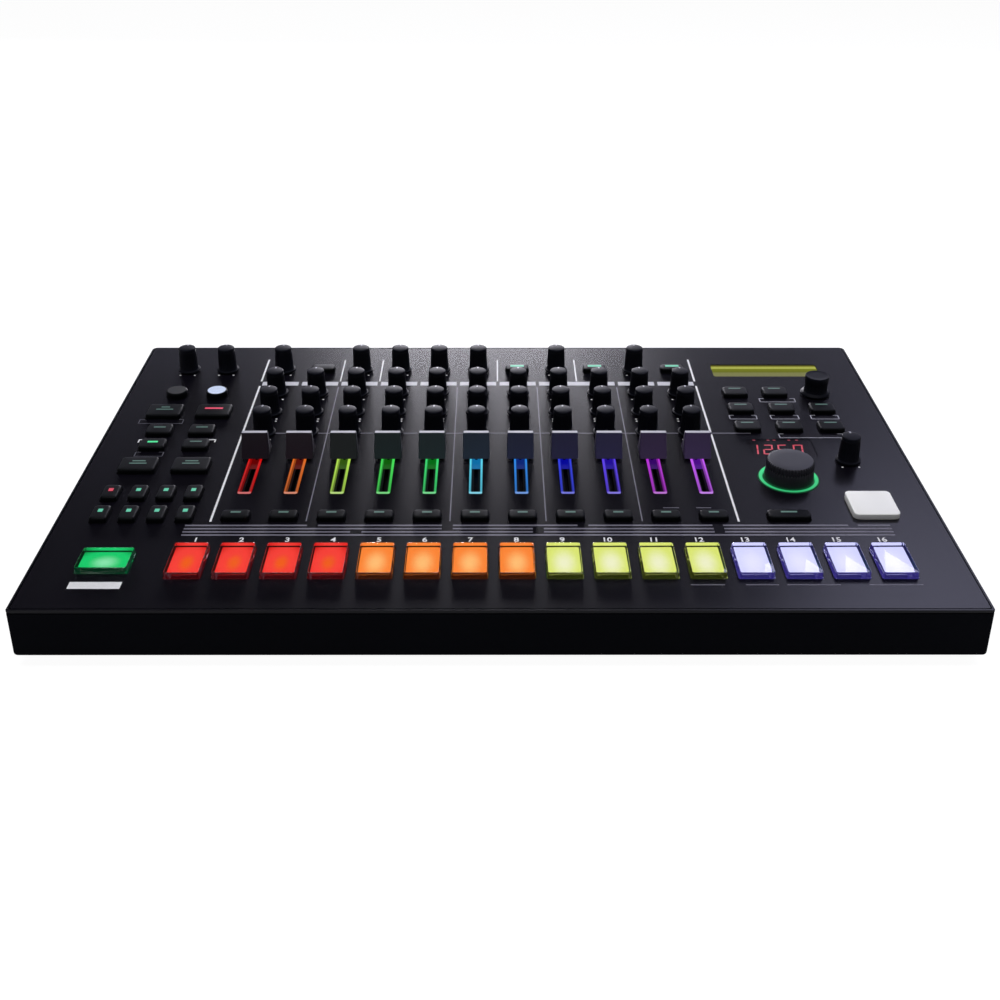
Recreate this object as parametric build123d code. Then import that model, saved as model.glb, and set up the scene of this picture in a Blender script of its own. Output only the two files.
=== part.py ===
"""Tabletop rhythm machine: step pads, faders and knobs on a tilted panel over a shallow case."""
from build123d import *
import math
import os

os.makedirs("parts", exist_ok=True)

# Panel layout across, from its left edge
left_section_width = 71.4
channel_pitch = 22.1
channel_count = 11
right_section_width = 94.5

# Panel layout along the slope, from its front edge
front_margin = 22.9
pad_length = 24.4
legend_gap = 21.8
key_length = 7.2
key_to_fader_gap = 18.1
fader_frame_length = 41.7
fader_to_knob_gap = 19.3
knob_row_pitch = 23.1
knob_row_count = 3
knob_to_back_row_gap = 30.3
rear_margin = 31.65

# Case
panel_tilt = 3.7
front_height = 28.0
foot_height = 6.0
wall_thickness = 2.2
floor_thickness = 2.0
lower_edge_radius = 2.0
front_corner_radius = 0.8
rear_corner_radius = 3.0
seam_height = 0.7
seam_depth = 0.4

# Top panel and the frame around it
panel_thickness = 1.0
frame_rim_width = 0.9
frame_ledge_width = 6.0
frame_ledge_thickness = 0.8
panel_edge_gap = 0.5
panel_corner_radius = 1.0
boss_length = 6.0
boss_diameter = 7.0
case_screw_inset = 12.5

# Running gaps
cutout_clearance = 0.3
running_clearance = 0.25
knob_lift = 0.6

# Control board, hung below the panel on studs
board_gap = 7.4
board_thickness = 1.6
board_side_margin = 16.6
board_front_margin = 10.0
board_rear_margin = 15.0
stud_diameter = 5.0
switch_size = 6.0
switch_height = 1.6

# Step pads and start pad
pad_count = 16
pad_width = 15.6
pad_height = 3.0
pad_wall = 1.1
pad_travel = 1.0
pad_corner_radius = 0.8
pad_flange = 0.9
flange_thickness = 1.0
first_pad_from_left = 67.8
last_pad_from_right = 32.5
start_pad_width = 23.0
start_pad_length = 16.5
start_pad_from_left = 32.2

# Keys
key_width = 13.0
key_height = 2.5
square_key_length = 10.0
key_travel = 0.8
key_corner_radius = 1.0
key_flange = 0.9
key_stem_diameter = 3.2
wide_key_width = 18.2
wide_key_length = 13.6
round_key_diameter = 11.5
round_key_height = 3.4
round_key_edge = 0.55
variation_key_width = 7.8
variation_key_length = 12.5
mute_key_width = 19.7

# Knobs
knob_skirt_diameter = 12.4
knob_skirt_height = 0.9
knob_base_diameter = 10.3
knob_top_diameter = 9.2
knob_height = 14.5
knob_dome_radius = 0.6
shaft_diameter = 6.0
shaft_depth_in_knob = 9.0
pot_width = 9.8
pot_length = 11.4
pot_height = 5.0
pot_collar_diameter = 8.4
value_knob_base_diameter = 15.9
value_knob_top_diameter = 12.9
value_knob_height = 11.4
tempo_knob_base_diameter = 24.0
tempo_knob_top_diameter = 22.4
tempo_knob_height = 10.5
tempo_notch_count = 48
tempo_notch_diameter = 0.7
ring_outer_diameter = 29.3
ring_width = 2.0
ring_flange = 1.3

# Faders
fader_frame_width = 6.3
fader_frame_wall = 1.0
light_guide_proud = 0.3
fader_end_margin = 6.8
fader_cap_width = 13.4
fader_cap_length = 13.8
fader_cap_top_width = 13.0
fader_cap_top_length = 2.6
fader_cap_lift = 1.2
fader_cap_height = 11.8
fader_cap_edge = 0.6
lever_width = 1.2
lever_length = 4.0
lever_depth_in_cap = 7.0
lever_slot_clearance = 0.4
slide_pot_width = 8.5
slide_pot_height = 6.4
slide_pot_overhang = 6.5
slide_pot_floor = 1.4

# Displays and strike pad
display_window_width = 60.0
display_window_length = 15.4
display_body_margin = 3.0
window_recess = 0.2
window_thickness = 0.5
tempo_window_width = 32.0
tempo_window_length = 18.0
tempo_body_margin = 2.0
strike_pad_width = 21.3
strike_pad_length = 21.5
strike_pad_height = 2.6
strike_pad_radius = 3.0
strike_pad_flange = 1.5
strike_pad_foot = 3.0

# Rear panel and its sockets
rear_panel_thickness = 1.5
rear_opening_inset = 18.5
rear_opening_low = 11.0
rear_opening_height = 24.0
rear_panel_overlap = 3.0
main_board_lift = 6.0
main_board_length = 99.0
main_board_side_margin = 20.5
pillar_diameter = 6.0
jack_pitch = 18.5
jack_count = 11
first_jack_from_right = 182.5
jack_width = 14.0
jack_depth = 24.0
jack_body_height = 15.0
jack_bush_diameter = 11.0
jack_bore_diameter = 6.5
jack_bore_end_wall = 2.0
jack_nut_diameter = 14.5
jack_nut_thickness = 1.4
socket_proud = 1.9
trigger_jack_width = 8.0
trigger_jack_depth = 14.0
trigger_bush_diameter = 6.0
trigger_bore_diameter = 3.6
trigger_from_right = 164.0
din_width = 20.0
din_depth = 15.0
din_ring_diameter = 15.0
din_hollow_diameter = 13.4
din_hollow_depth = 10.0
din_from_right = (124.5, 147.5)
usb_width = 12.0
usb_height = 11.0
usb_depth = 16.0
usb_wall = 1.6
usb_hollow_depth = 12.0
usb_from_right = 67.5
inlet_width = 9.0
inlet_height = 11.0
inlet_depth = 14.0
inlet_hollow_diameter = 6.0
inlet_hollow_depth = 10.0
inlet_from_right = 49.5
card_width = 28.0
card_height = 3.6
card_depth = 28.0
card_wall = 0.6
card_hollow_depth = 24.0
card_from_right = 96.5
switch_body_width = 12.0
switch_body_height = 12.0
switch_body_depth = 16.0
button_width = 8.0
button_height = 6.0
button_travel = 2.0
button_from_right = 32.5

# Feet and screws
foot_diameter = 18.0
foot_inset_side = 24.5
foot_inset_end = 26.5
screw_diameter = 3.0
screw_hole_diameter = 3.4
screw_head_diameter = 5.6
screw_head_height = 2.0
screw_end_gap = 1.5

# Places of the left section, in from the left edge and forward of the back row
volume_knob_inset = 28.1
input_knob_inset = 50.1
round_key_insets = (28.0, 49.9)
round_key_drop = 32.1
wide_key_insets = (26.1, 52.2)
wide_key_drops = (53.7, 112.2)
small_key_insets = (28.2, 50.1)
small_key_drops = (75.3, 90.9)
variation_key_inset = 19.6
variation_key_pitch = 13.1
variation_key_steps = (1.3, 20.1)

# Places of the right section, in from the right edge and forward of the back row
display_inset = 52.3
menu_key_insets = (74.6, 52.8, 31.0)
menu_key_drops = (30.6, 50.1, 71.1)
value_knob_inset = 30.3
value_knob_drop = 30.3
shuffle_knob_inset = 30.5
shuffle_knob_drop = 105.8
tempo_display_inset = 60.5
tempo_display_drop = 92.5
tempo_knob_inset = 63.6
tempo_knob_drop = 122.8
mute_key_inset = 70.8
strike_pad_inset = 30.1
strike_pad_step = 9.1

# Places of studs, case screws and board pillars, clear of the controls
stud_key_gap = 15.0
stud_fader_step = 1.0
left_stud_insets = (39.1, 38.1)
left_stud_drop = 83.1
right_stud_insets = (63.7, 20.5, 70.0, 21.5)
right_stud_drops = (60.6, 89.0)
case_screw_wide_gaps = (14.1, 11.7)
case_screw_back_step = 7.0
pillar_inset_side = 30.0
pillar_inset_front = 8.0
pillar_inset_rear = 36.0
small_body_radius = 0.5

# Overall sizes and panel rows that follow from the layout
field_width = channel_pitch * channel_count
case_width = left_section_width + field_width + right_section_width
pad_row = front_margin + pad_length / 2
channel_key_row = front_margin + pad_length + legend_gap + key_length / 2
fader_frame_start = channel_key_row + key_length / 2 + key_to_fader_gap
fader_frame_row = fader_frame_start + fader_frame_length / 2
first_knob_row = fader_frame_start + fader_frame_length + fader_to_knob_gap
knob_rows = [first_knob_row + knob_row_pitch * row for row in range(knob_row_count)]
back_row = knob_rows[-1] + knob_to_back_row_gap
panel_length = back_row + rear_margin
case_depth = panel_length * math.cos(math.radians(panel_tilt))
panel_slope = math.tan(math.radians(panel_tilt))
left_edge = -case_width / 2
right_edge = case_width / 2
rear_opening_width = case_width - 2 * rear_opening_inset
fader_travel = fader_frame_length - fader_end_margin
rear_face = case_depth / 2
field_left = left_edge + left_section_width
field_right = field_left + field_width
beyond = case_width + case_depth

# Heights measured square to the panel, from its top face
panel_under = -panel_thickness
frame_under = panel_under - frame_ledge_thickness
board_top = panel_under - board_gap
board_under = board_top - board_thickness
switch_top = board_top + switch_height
flange_top = panel_under - running_clearance
flange_under = flange_top - flange_thickness
pot_top = board_top + pot_height
slide_pot_top = board_top + slide_pot_height
pad_foot = switch_top + pad_travel + running_clearance
key_foot = switch_top + key_travel + running_clearance

# Heights of the case, from the table
floor_top = foot_height + floor_thickness
main_board_under = floor_top + main_board_lift
main_board_top = main_board_under + board_thickness
rear_wall_inner = rear_face - wall_thickness
rear_panel_inner = rear_wall_inner - rear_panel_thickness
socket_axis = main_board_top + jack_body_height / 2

# Control positions on the panel, as (across, along)
channel_columns = [field_left + channel_pitch * (column + 0.5) for column in range(channel_count)]
pad_pitch = (case_width - first_pad_from_left - last_pad_from_right) / (pad_count - 1)
pad_columns = [left_edge + first_pad_from_left + pad_pitch * index for index in range(pad_count)]
start_pad_place = (left_edge + start_pad_from_left, pad_row)
small_key_columns = [left_edge + inset for inset in small_key_insets]
wide_key_columns = [left_edge + inset for inset in wide_key_insets]
round_key_columns = [left_edge + inset for inset in round_key_insets]
variation_start = left_edge + variation_key_inset
variation_columns = [variation_start + variation_key_pitch * column for column in range(4)]
menu_columns = [right_edge - inset for inset in menu_key_insets]
key_rows_left = [back_row - drop for drop in small_key_drops]
wide_key_rows = [back_row - drop for drop in wide_key_drops]
round_key_row = back_row - round_key_drop
variation_rows = [channel_key_row + step for step in variation_key_steps]
menu_rows = [back_row - drop for drop in menu_key_drops]
mute_key_place = (right_edge - mute_key_inset, channel_key_row)
strike_pad_place = (right_edge - strike_pad_inset, channel_key_row + strike_pad_step)
display_place = (right_edge - display_inset, back_row)
tempo_display_place = (right_edge - tempo_display_inset, back_row - tempo_display_drop)
tempo_knob_place = (right_edge - tempo_knob_inset, back_row - tempo_knob_drop)
shuffle_knob_place = (right_edge - shuffle_knob_inset, back_row - shuffle_knob_drop)
value_knob_place = (right_edge - value_knob_inset, back_row - value_knob_drop)
effect_key_columns = [channel_columns[column] for column in (1, 6, 8, 10) if column < channel_count]

single_knobs = {
    "volume_knob": (left_edge + volume_knob_inset, back_row),
    "input_knob": (left_edge + input_knob_inset, back_row),
    "shuffle_knob": shuffle_knob_place,
}
back_row_knobs = (
    ("accent_knob", 0), ("reverb_knob", 2), ("delay_level_knob", 3), ("delay_time_knob", 4),
    ("delay_feedback_knob", 5), ("master_effect_knob", 7), ("fill_knob", 9),
)
for knob_name, column in back_row_knobs:
    single_knobs[knob_name] = (channel_columns[min(column, channel_count - 1)], back_row)
channel_knob_places = [(across, along) for along in knob_rows for across in channel_columns]

row_key_places = [(across, channel_key_row) for across in channel_columns]
effect_key_places = [(across, back_row) for across in effect_key_columns]
small_key_places = [(across, along) for along in key_rows_left for across in small_key_columns]
wide_key_places = [(across, along) for along in wide_key_rows for across in wide_key_columns]
round_key_places = [(across, round_key_row) for across in round_key_columns]
variation_places = [(across, along) for along in variation_rows for across in variation_columns]
menu_places = [(across, along) for along in menu_rows for across in menu_columns]
menu_places.remove((menu_columns[2], menu_rows[0]))

stud_front_row = channel_key_row - stud_key_gap
stud_rear_row = (knob_rows[-1] + back_row) / 2
stud_rows = (stud_front_row, fader_frame_row + stud_fader_step, stud_rear_row)
field_thirds = [field_left + channel_pitch * column for column in (0, 3, 5, 7, 9)]
stud_places = [(across, along) for along in stud_rows for across in field_thirds]
left_stud_rows = (back_row - left_stud_drop, stud_rear_row)
stud_places += [(left_edge + inset, along) for inset, along in zip(left_stud_insets, left_stud_rows)]
right_stud_rows = [back_row - drop for drop in right_stud_drops] + [stud_front_row, stud_front_row]
stud_places += [(right_edge - inset, along) for inset, along in zip(right_stud_insets, right_stud_rows)]

panel_frame = Location((0, -case_depth / 2, front_height), (panel_tilt, 0, 0))


def solid_between(sketch, low, high):
    """Solid that stands on a flat sketch between two heights."""
    return Pos(0, 0, low) * extrude(sketch, amount=high - low)


def rounded_block(width, length, low, high, radius):
    """Block centred on its axis, with rounded upright edges."""
    return solid_between(RectangleRounded(width, length, radius), low, high)


def disc(diameter, low, high):
    """Round bar on the upright axis between two heights."""
    return solid_between(Circle(diameter / 2), low, high)


def bar_along_depth(diameter, across, height, front, back):
    """Round bar that lies along the depth of the case."""
    bar = extrude(Plane.XZ * Circle(diameter / 2), amount=-(back - front))
    return Pos(across, front, height) * bar


def box_between(low, high):
    """Box given by its lowest and highest corners."""
    size = [high[axis] - low[axis] for axis in range(3)]
    middle = [(high[axis] + low[axis]) / 2 for axis in range(3)]
    return Pos(*middle) * Box(*size)


def at_places(piece, places):
    """Copies of a piece at several places on the panel."""
    return [Pos(across, along, 0) * piece for across, along in places]


def place_depth(along):
    """Case depth coordinate of a panel row."""
    return -case_depth / 2 + along * math.cos(math.radians(panel_tilt))


def panel_under_height(depth):
    """Height of the panel's underside above the table at a depth coordinate."""
    rise = (depth + case_depth / 2) * panel_slope
    return front_height + rise - panel_thickness / math.cos(math.radians(panel_tilt))


def below_panel(height):
    """Large block that fills everything under a plane parallel to the panel."""
    return panel_frame * Pos(0, panel_length / 2, height - beyond / 2) * Box(beyond, beyond, beyond)


def save(name, pieces, frame=Location()):
    """Write the pieces of one node as separate solids of a single file."""
    solids = [solid for piece in pieces for solid in (frame * piece).solids()]
    export_step(Compound(children=solids), "parts/" + name + ".step")
    print(name, len(solids))


def case_outline(inset):
    """Plan outline of the case, drawn in by an inset, with its corners rounded."""
    outline = Rectangle(case_width - 2 * inset, case_depth - 2 * inset)
    front = outline.vertices().sort_by(Axis.Y)[:2]
    outline = fillet(front, max(front_corner_radius, 0.1))
    rear = outline.vertices().sort_by(Axis.Y)[-2:]
    return fillet(rear, max(rear_corner_radius - inset, 0.1))


def case_block(inset, low):
    """Solid inside of the case outline, from a height up to beyond the panel."""
    top = front_height + case_depth * panel_slope + panel_thickness
    return solid_between(case_outline(inset), low, top)


def rounded_case_section():
    """Bar along the depth whose two lower edges are rounded."""
    height = front_height + case_depth * panel_slope
    section = Pos(0, foot_height + height / 2) * Rectangle(case_width, height)
    section = fillet(section.vertices().sort_by(Axis.Y)[:2], lower_edge_radius)
    return Pos(0, case_depth / 2, 0) * extrude(Plane.XZ * section, amount=case_depth)


case_screw_rows = (
    front_margin,
    wide_key_rows[1] - case_screw_wide_gaps[0],
    wide_key_rows[0] - case_screw_wide_gaps[1],
    back_row + case_screw_back_step,
)
case_screw_places = [
    (side * (case_width / 2 - case_screw_inset), place_depth(along))
    for side in (-1, 1) for along in case_screw_rows
]
pillar_reach = case_width / 2 - pillar_inset_side
pillar_columns = (-pillar_reach, -case_width / 6, case_width / 6, pillar_reach)
main_board_rear = rear_panel_inner - running_clearance
main_board_front = main_board_rear - main_board_length
pillar_places = [
    (across, along) for across in pillar_columns
    for along in (main_board_front + pillar_inset_front, main_board_rear - pillar_inset_rear)
]


def wall_slices():
    """Boxes that part the walls into plates: two sides, front, and four bars round the rear opening."""
    top = front_height * 3
    side = case_width / 2 - rear_corner_radius
    opening_side = rear_opening_width / 2
    opening_top = rear_opening_low + rear_opening_height
    front, rear = -case_depth / 2, case_depth / 2
    return [
        box_between((-case_width / 2, front, floor_top), (-side, rear, top)),
        box_between((side, front, floor_top), (case_width / 2, rear, top)),
        box_between((-side, front, floor_top), (side, 0, top)),
        box_between((-side, 0, floor_top), (side, rear, rear_opening_low)),
        box_between((-side, 0, opening_top), (side, rear, top)),
        box_between((-side, 0, rear_opening_low), (-opening_side, rear, opening_top)),
        box_between((opening_side, 0, rear_opening_low), (side, rear, opening_top)),
    ]


def make_bottom_case():
    """Tray as touching plates, each one free of hollows, with screw posts and board pillars."""
    tray = case_block(0, foot_height) & rounded_case_section() & below_panel(frame_under)
    walls = tray - case_block(wall_thickness, foot_height)
    walls -= box_between(
        (-rear_opening_width / 2, rear_wall_inner - wall_thickness, rear_opening_low),
        (rear_opening_width / 2, rear_face + wall_thickness, rear_opening_low + rear_opening_height))
    floor = tray & box_between((left_edge, -case_depth / 2, foot_height), (right_edge, rear_face, floor_top))
    recess = disc(screw_head_diameter + cutout_clearance, foot_height, floor_top)
    floor -= [Pos(*place) * recess for place in case_screw_places]
    post = disc(boss_diameter, floor_top, front_height * 3)
    post -= disc(screw_hole_diameter, floor_top, front_height * 3)
    posts = [(Pos(*place) * post) & below_panel(panel_under - boss_length) for place in case_screw_places]
    pillar = disc(pillar_diameter, floor_top, main_board_under)
    pillar -= disc(screw_diameter, floor_top, main_board_under)
    return [floor] + [walls & cutter for cutter in wall_slices()] + posts + at_places(pillar, pillar_places)


panel_width = case_width - 2 * (frame_rim_width + panel_edge_gap)
panel_run = panel_length - 2 * (frame_rim_width + panel_edge_gap)


def panel_area(growth, radius):
    """Sketch of the top panel's outline, grown on every side, in the panel's frame."""
    outline = RectangleRounded(panel_width + 2 * growth, panel_run + 2 * growth, radius)
    return Pos(0, panel_length / 2) * outline


def make_upper_frame():
    """Rim around the top panel, with the ledge that the panel lies on and a seam groove below."""
    ring = case_block(0, foot_height) & below_panel(0)
    ring -= below_panel(frame_under)
    opening = panel_area(panel_edge_gap, panel_corner_radius)
    ring -= panel_frame * solid_between(opening, panel_under, panel_thickness)
    inner = panel_area(panel_edge_gap - frame_ledge_width, panel_corner_radius)
    ring -= panel_frame * solid_between(inner, 2 * frame_under, panel_thickness)
    groove = case_block(0, foot_height) - case_block(seam_depth, foot_height)
    return ring - (groove & below_panel(frame_under + seam_height))


def rounded_hole(width, length, radius):
    """Sketch of a rectangular hole with clearance all round."""
    gap = 2 * cutout_clearance
    return RectangleRounded(width + gap, length + gap, radius + cutout_clearance)


key_shapes = {
    "row": (key_width, key_length, row_key_places + effect_key_places),
    "small": (key_width, square_key_length, small_key_places),
    "wide": (wide_key_width, wide_key_length, wide_key_places),
    "variation": (variation_key_width, variation_key_length, variation_places),
    "menu": (key_width, square_key_length, menu_places),
    "mute": (mute_key_width, key_length, [mute_key_place]),
}
knob_places = list(single_knobs.values()) + channel_knob_places


def panel_cutouts():
    """Sketches of every hole that a control needs through the top panel."""
    holes = []
    for width, length, places in key_shapes.values():
        holes += at_places(rounded_hole(width, length, key_corner_radius), places)
    holes += at_places(Circle(round_key_diameter / 2 + cutout_clearance), round_key_places)
    pad_places = [(across, pad_row) for across in pad_columns]
    holes += at_places(rounded_hole(pad_width, pad_length, pad_corner_radius), pad_places)
    holes += at_places(rounded_hole(start_pad_width, start_pad_length, pad_corner_radius), [start_pad_place])
    shaft_hole = Circle(shaft_diameter / 2 + 2 * cutout_clearance)
    holes += at_places(shaft_hole, knob_places + [value_knob_place])
    holes += at_places(Circle(ring_outer_diameter / 2 + cutout_clearance), [tempo_knob_place])
    fader_places = [(across, fader_frame_row) for across in channel_columns]
    holes += at_places(rounded_hole(fader_frame_width, fader_frame_length, key_corner_radius), fader_places)
    strike_hole = rounded_hole(strike_pad_width, strike_pad_length, strike_pad_radius)
    holes += at_places(strike_hole, [strike_pad_place])
    display_hole = rounded_hole(display_window_width, display_window_length, key_corner_radius)
    holes += at_places(display_hole, [display_place])
    tempo_hole = rounded_hole(tempo_window_width, tempo_window_length, key_corner_radius)
    return holes + at_places(tempo_hole, [tempo_display_place])


def make_top_panel():
    """Metal sheet with its control holes, and the studs and screw bosses pressed into it."""
    sheet = panel_area(0, panel_corner_radius) - panel_cutouts()
    pieces = [panel_frame * solid_between(sheet, panel_under, 0)]
    stud = disc(stud_diameter, board_top, panel_under) - disc(screw_diameter, board_top, panel_under)
    pieces += [panel_frame * piece for piece in at_places(stud, stud_places)]
    for across, depth in case_screw_places:
        top = panel_under_height(depth)
        boss = Pos(across, depth) * disc(boss_diameter, top - boss_length * 2, top + panel_thickness / 2)
        boss -= below_panel(panel_under - boss_length)
        boss &= below_panel(panel_under)
        pieces.append(boss - Pos(across, depth) * disc(screw_diameter, 0, top - screw_end_gap))
    return pieces


board_width = case_width - 2 * board_side_margin
board_run = panel_length - board_front_margin - board_rear_margin
pad_switch_places = [(across, pad_row) for across in pad_columns] + [start_pad_place]
key_switch_places = [place for _, _, places in key_shapes.values() for place in places]


def make_control_board():
    """Circuit board under the panel, with a push switch below every pad and key."""
    outline = Rectangle(board_width, board_run)
    outline = Pos(0, board_front_margin + board_run / 2) * outline
    outline -= at_places(Circle(screw_hole_diameter / 2), stud_places)
    board = solid_between(outline, board_under, board_top)
    switch = rounded_block(switch_size, switch_size, board_top, switch_top, small_body_radius)
    places = pad_switch_places + key_switch_places + round_key_places
    return [board] + at_places(switch, places)


def make_main_board():
    """Processor board on the floor pillars, in front of the rear sockets."""
    board = box_between(
        (-case_width / 2 + main_board_side_margin, main_board_front, main_board_under),
        (case_width / 2 - main_board_side_margin, main_board_front + main_board_length, main_board_top))
    bore = disc(screw_hole_diameter, main_board_under, main_board_top)
    return board - [Pos(*place) * bore for place in pillar_places]


def rotary_pot(collar_top):
    """Rotary control body with a collar that the knob's shaft turns in."""
    body = rounded_block(pot_width, pot_length, board_top, pot_top, small_body_radius)
    body += disc(pot_collar_diameter, pot_top, collar_top)
    shaft_room = shaft_diameter + 2 * running_clearance
    return body - disc(shaft_room, board_top + flange_thickness, collar_top)


def slide_pot():
    """Slide control body with the slot that the fader's lever runs in."""
    length = fader_frame_length + 2 * slide_pot_overhang
    body = rounded_block(slide_pot_width, length, board_top, slide_pot_top, small_body_radius)
    slot_length = fader_travel + lever_length + 2 * lever_slot_clearance
    slot_width = lever_width + 2 * lever_slot_clearance
    slot = solid_between(Rectangle(slot_width, slot_length), board_top + slide_pot_floor, slide_pot_top)
    return body - slot


def make_potentiometers():
    """Every rotary and slide control body that stands on the control board."""
    collar_top = panel_under - cutout_clearance
    pots = at_places(rotary_pot(collar_top), knob_places + [value_knob_place])
    tempo_collar_top = panel_under - ring_flange - cutout_clearance
    pots += at_places(rotary_pot(tempo_collar_top), [tempo_knob_place])
    return pots + at_places(slide_pot(), [(across, fader_frame_row) for across in channel_columns])


def make_light_guides():
    """Clear frames around the fader slots and the ring around the tempo knob."""
    radius = key_corner_radius
    frame = rounded_block(fader_frame_width, fader_frame_length, slide_pot_top, light_guide_proud, radius)
    inner_width = fader_frame_width - 2 * fader_frame_wall
    inner_length = fader_frame_length - 2 * fader_frame_wall
    frame -= rounded_block(inner_width, inner_length, slide_pot_top, light_guide_proud, radius / 2)
    guides = at_places(frame, [(across, fader_frame_row) for across in channel_columns])
    flange_diameter = ring_outer_diameter + 2 * ring_flange
    ring = disc(flange_diameter, panel_under - ring_flange, panel_under)
    ring += disc(ring_outer_diameter, panel_under, light_guide_proud)
    ring -= disc(ring_outer_diameter - 2 * ring_width, panel_under + cutout_clearance, light_guide_proud)
    ring -= disc(pot_collar_diameter + 2 * cutout_clearance, panel_under - ring_flange, 0)
    return guides + at_places(ring, [tempo_knob_place])


def window_module(width, length, margin):
    """Display body on the board with a clear window set into the panel."""
    body_width = width + 2 * margin
    body_length = length + 2 * margin
    body = rounded_block(body_width, body_length, board_top, panel_under, small_body_radius)
    seat = -window_recess - window_thickness
    lens = rounded_block(width, length, panel_under, -window_recess, key_corner_radius)
    screen = rounded_block(width - margin, length - margin, panel_under, seat, small_body_radius)
    return [body, lens - screen, screen]


def make_strike_pad():
    """Soft white pad on its sensor foot."""
    pad = rounded_block(strike_pad_width, strike_pad_length, flange_top, strike_pad_height, strike_pad_radius)
    pad = fillet(pad.faces().sort_by(Axis.Z)[-1].edges(), strike_pad_height / 3)
    flange_width = strike_pad_width + 2 * strike_pad_flange
    flange_length = strike_pad_length + 2 * strike_pad_flange
    pad += rounded_block(flange_width, flange_length, flange_under, flange_top, strike_pad_radius)
    foot_width = strike_pad_width - 2 * strike_pad_foot
    foot_length = strike_pad_length - 2 * strike_pad_foot
    return pad + rounded_block(foot_width, foot_length, board_top, flange_under, strike_pad_radius)


def pressed_cap(outline, flange_outline, top, foot, edge):
    """Cap through the panel, with a holding flange and a stem above its switch."""
    cap = solid_between(outline, flange_top, top)
    cap = chamfer(cap.faces().sort_by(Axis.Z)[-1].edges(), edge)
    cap += solid_between(flange_outline, flange_under, flange_top)
    return cap + disc(key_stem_diameter, foot, flange_under)


def make_key(width, length):
    """Rectangular key cap with its flange and stem."""
    grown = 2 * key_flange
    outline = RectangleRounded(width, length, key_corner_radius)
    flange = RectangleRounded(width + grown, length + grown, key_corner_radius)
    return pressed_cap(outline, flange, key_height, key_foot, key_corner_radius / 3)


def make_round_key():
    """Round key cap with its flange and stem."""
    flange = Circle(round_key_diameter / 2 + key_flange)
    return pressed_cap(Circle(round_key_diameter / 2), flange, round_key_height, key_foot, round_key_edge)


def make_pad(width, length):
    """Clear pad cap over the lit block that it presses down."""
    grown = 2 * pad_flange
    cap = rounded_block(width, length, flange_top, pad_height, pad_corner_radius)
    cap = chamfer(cap.faces().sort_by(Axis.Z)[-1].edges(), pad_corner_radius * 3 / 4)
    cap += rounded_block(width + grown, length + grown, flange_under, flange_top, pad_corner_radius)
    inner_width = width - 2 * pad_wall
    inner_length = length - 2 * pad_wall
    inner_top = pad_height - pad_wall
    cap -= rounded_block(inner_width, inner_length, flange_under, inner_top, pad_corner_radius / 2)
    block = rounded_block(inner_width, inner_length, flange_under, inner_top, pad_corner_radius / 2)
    block += disc(switch_size, pad_foot, flange_under)
    return [cap, block]


def knob_shaft(top):
    """Shaft that turns in a control's collar and carries its knob."""
    foot = board_top + flange_thickness + running_clearance
    return disc(shaft_diameter, foot, top)


def make_knob():
    """Tall tapered knob with a round skirt and domed top, on its shaft."""
    skirt_top = knob_lift + knob_skirt_height
    knob = disc(knob_skirt_diameter, knob_lift, skirt_top)
    knob = chamfer(knob.faces().sort_by(Axis.Z)[-1].edges(), knob_skirt_height / 4)
    body_height = knob_height - skirt_top
    body = Cone(knob_base_diameter / 2, knob_top_diameter / 2, body_height)
    body = Pos(0, 0, skirt_top + body_height / 2) * body
    knob += fillet(body.faces().sort_by(Axis.Z)[-1].edges(), knob_dome_radius)
    shaft_top = knob_lift + shaft_depth_in_knob
    return [knob - disc(shaft_diameter, knob_lift, shaft_top), knob_shaft(shaft_top)]


def make_value_knob():
    """Tapered knob without a pointer for stepping through values, on its shaft."""
    height = value_knob_height - knob_lift
    knob = Cone(value_knob_base_diameter / 2, value_knob_top_diameter / 2, height)
    knob = Pos(0, 0, knob_lift + height / 2) * knob
    knob = fillet(knob.faces().sort_by(Axis.Z)[-1].edges(), knob_dome_radius / 2)
    shaft_top = value_knob_height - knob_lift - knob_dome_radius
    return [knob - disc(shaft_diameter, knob_lift, shaft_top), knob_shaft(shaft_top)]


def make_tempo_knob():
    """Broad flat-topped knob with a notched rim, on its shaft."""
    height = tempo_knob_height - knob_lift
    knob = Cone(tempo_knob_base_diameter / 2, tempo_knob_top_diameter / 2, height)
    knob = Pos(0, 0, knob_lift + height / 2) * knob
    knob = chamfer(knob.faces().sort_by(Axis.Z)[-1].edges(), knob_dome_radius / 3)
    notch = disc(tempo_notch_diameter, tempo_knob_height - knob_dome_radius * 2, tempo_knob_height)
    knob -= [notch.moved(place) for place in PolarLocations(tempo_knob_top_diameter / 2, tempo_notch_count)]
    shaft_top = tempo_knob_height - knob_lift - knob_dome_radius
    return [knob - disc(shaft_diameter, knob_lift, shaft_top), knob_shaft(shaft_top)]


def make_fader():
    """Wedge-shaped fader cap pressed onto its metal lever."""
    cap_top = fader_cap_lift + fader_cap_height
    low = Pos(0, 0, fader_cap_lift) * Rectangle(fader_cap_width, fader_cap_length)
    high = Pos(0, 0, cap_top) * Rectangle(fader_cap_top_width, fader_cap_top_length)
    cap = loft([low.face(), high.face()])
    cap = chamfer(cap.edges(), fader_cap_edge / 2)
    lever_top = fader_cap_lift + lever_depth_in_cap
    foot = board_top + slide_pot_floor + running_clearance
    lever = solid_between(Rectangle(lever_width, lever_length), foot, lever_top)
    return [cap - lever, lever]


def jack_place(index):
    """Across position of one quarter-inch jack, counted from the right."""
    return right_edge - first_jack_from_right - jack_pitch * index


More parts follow.
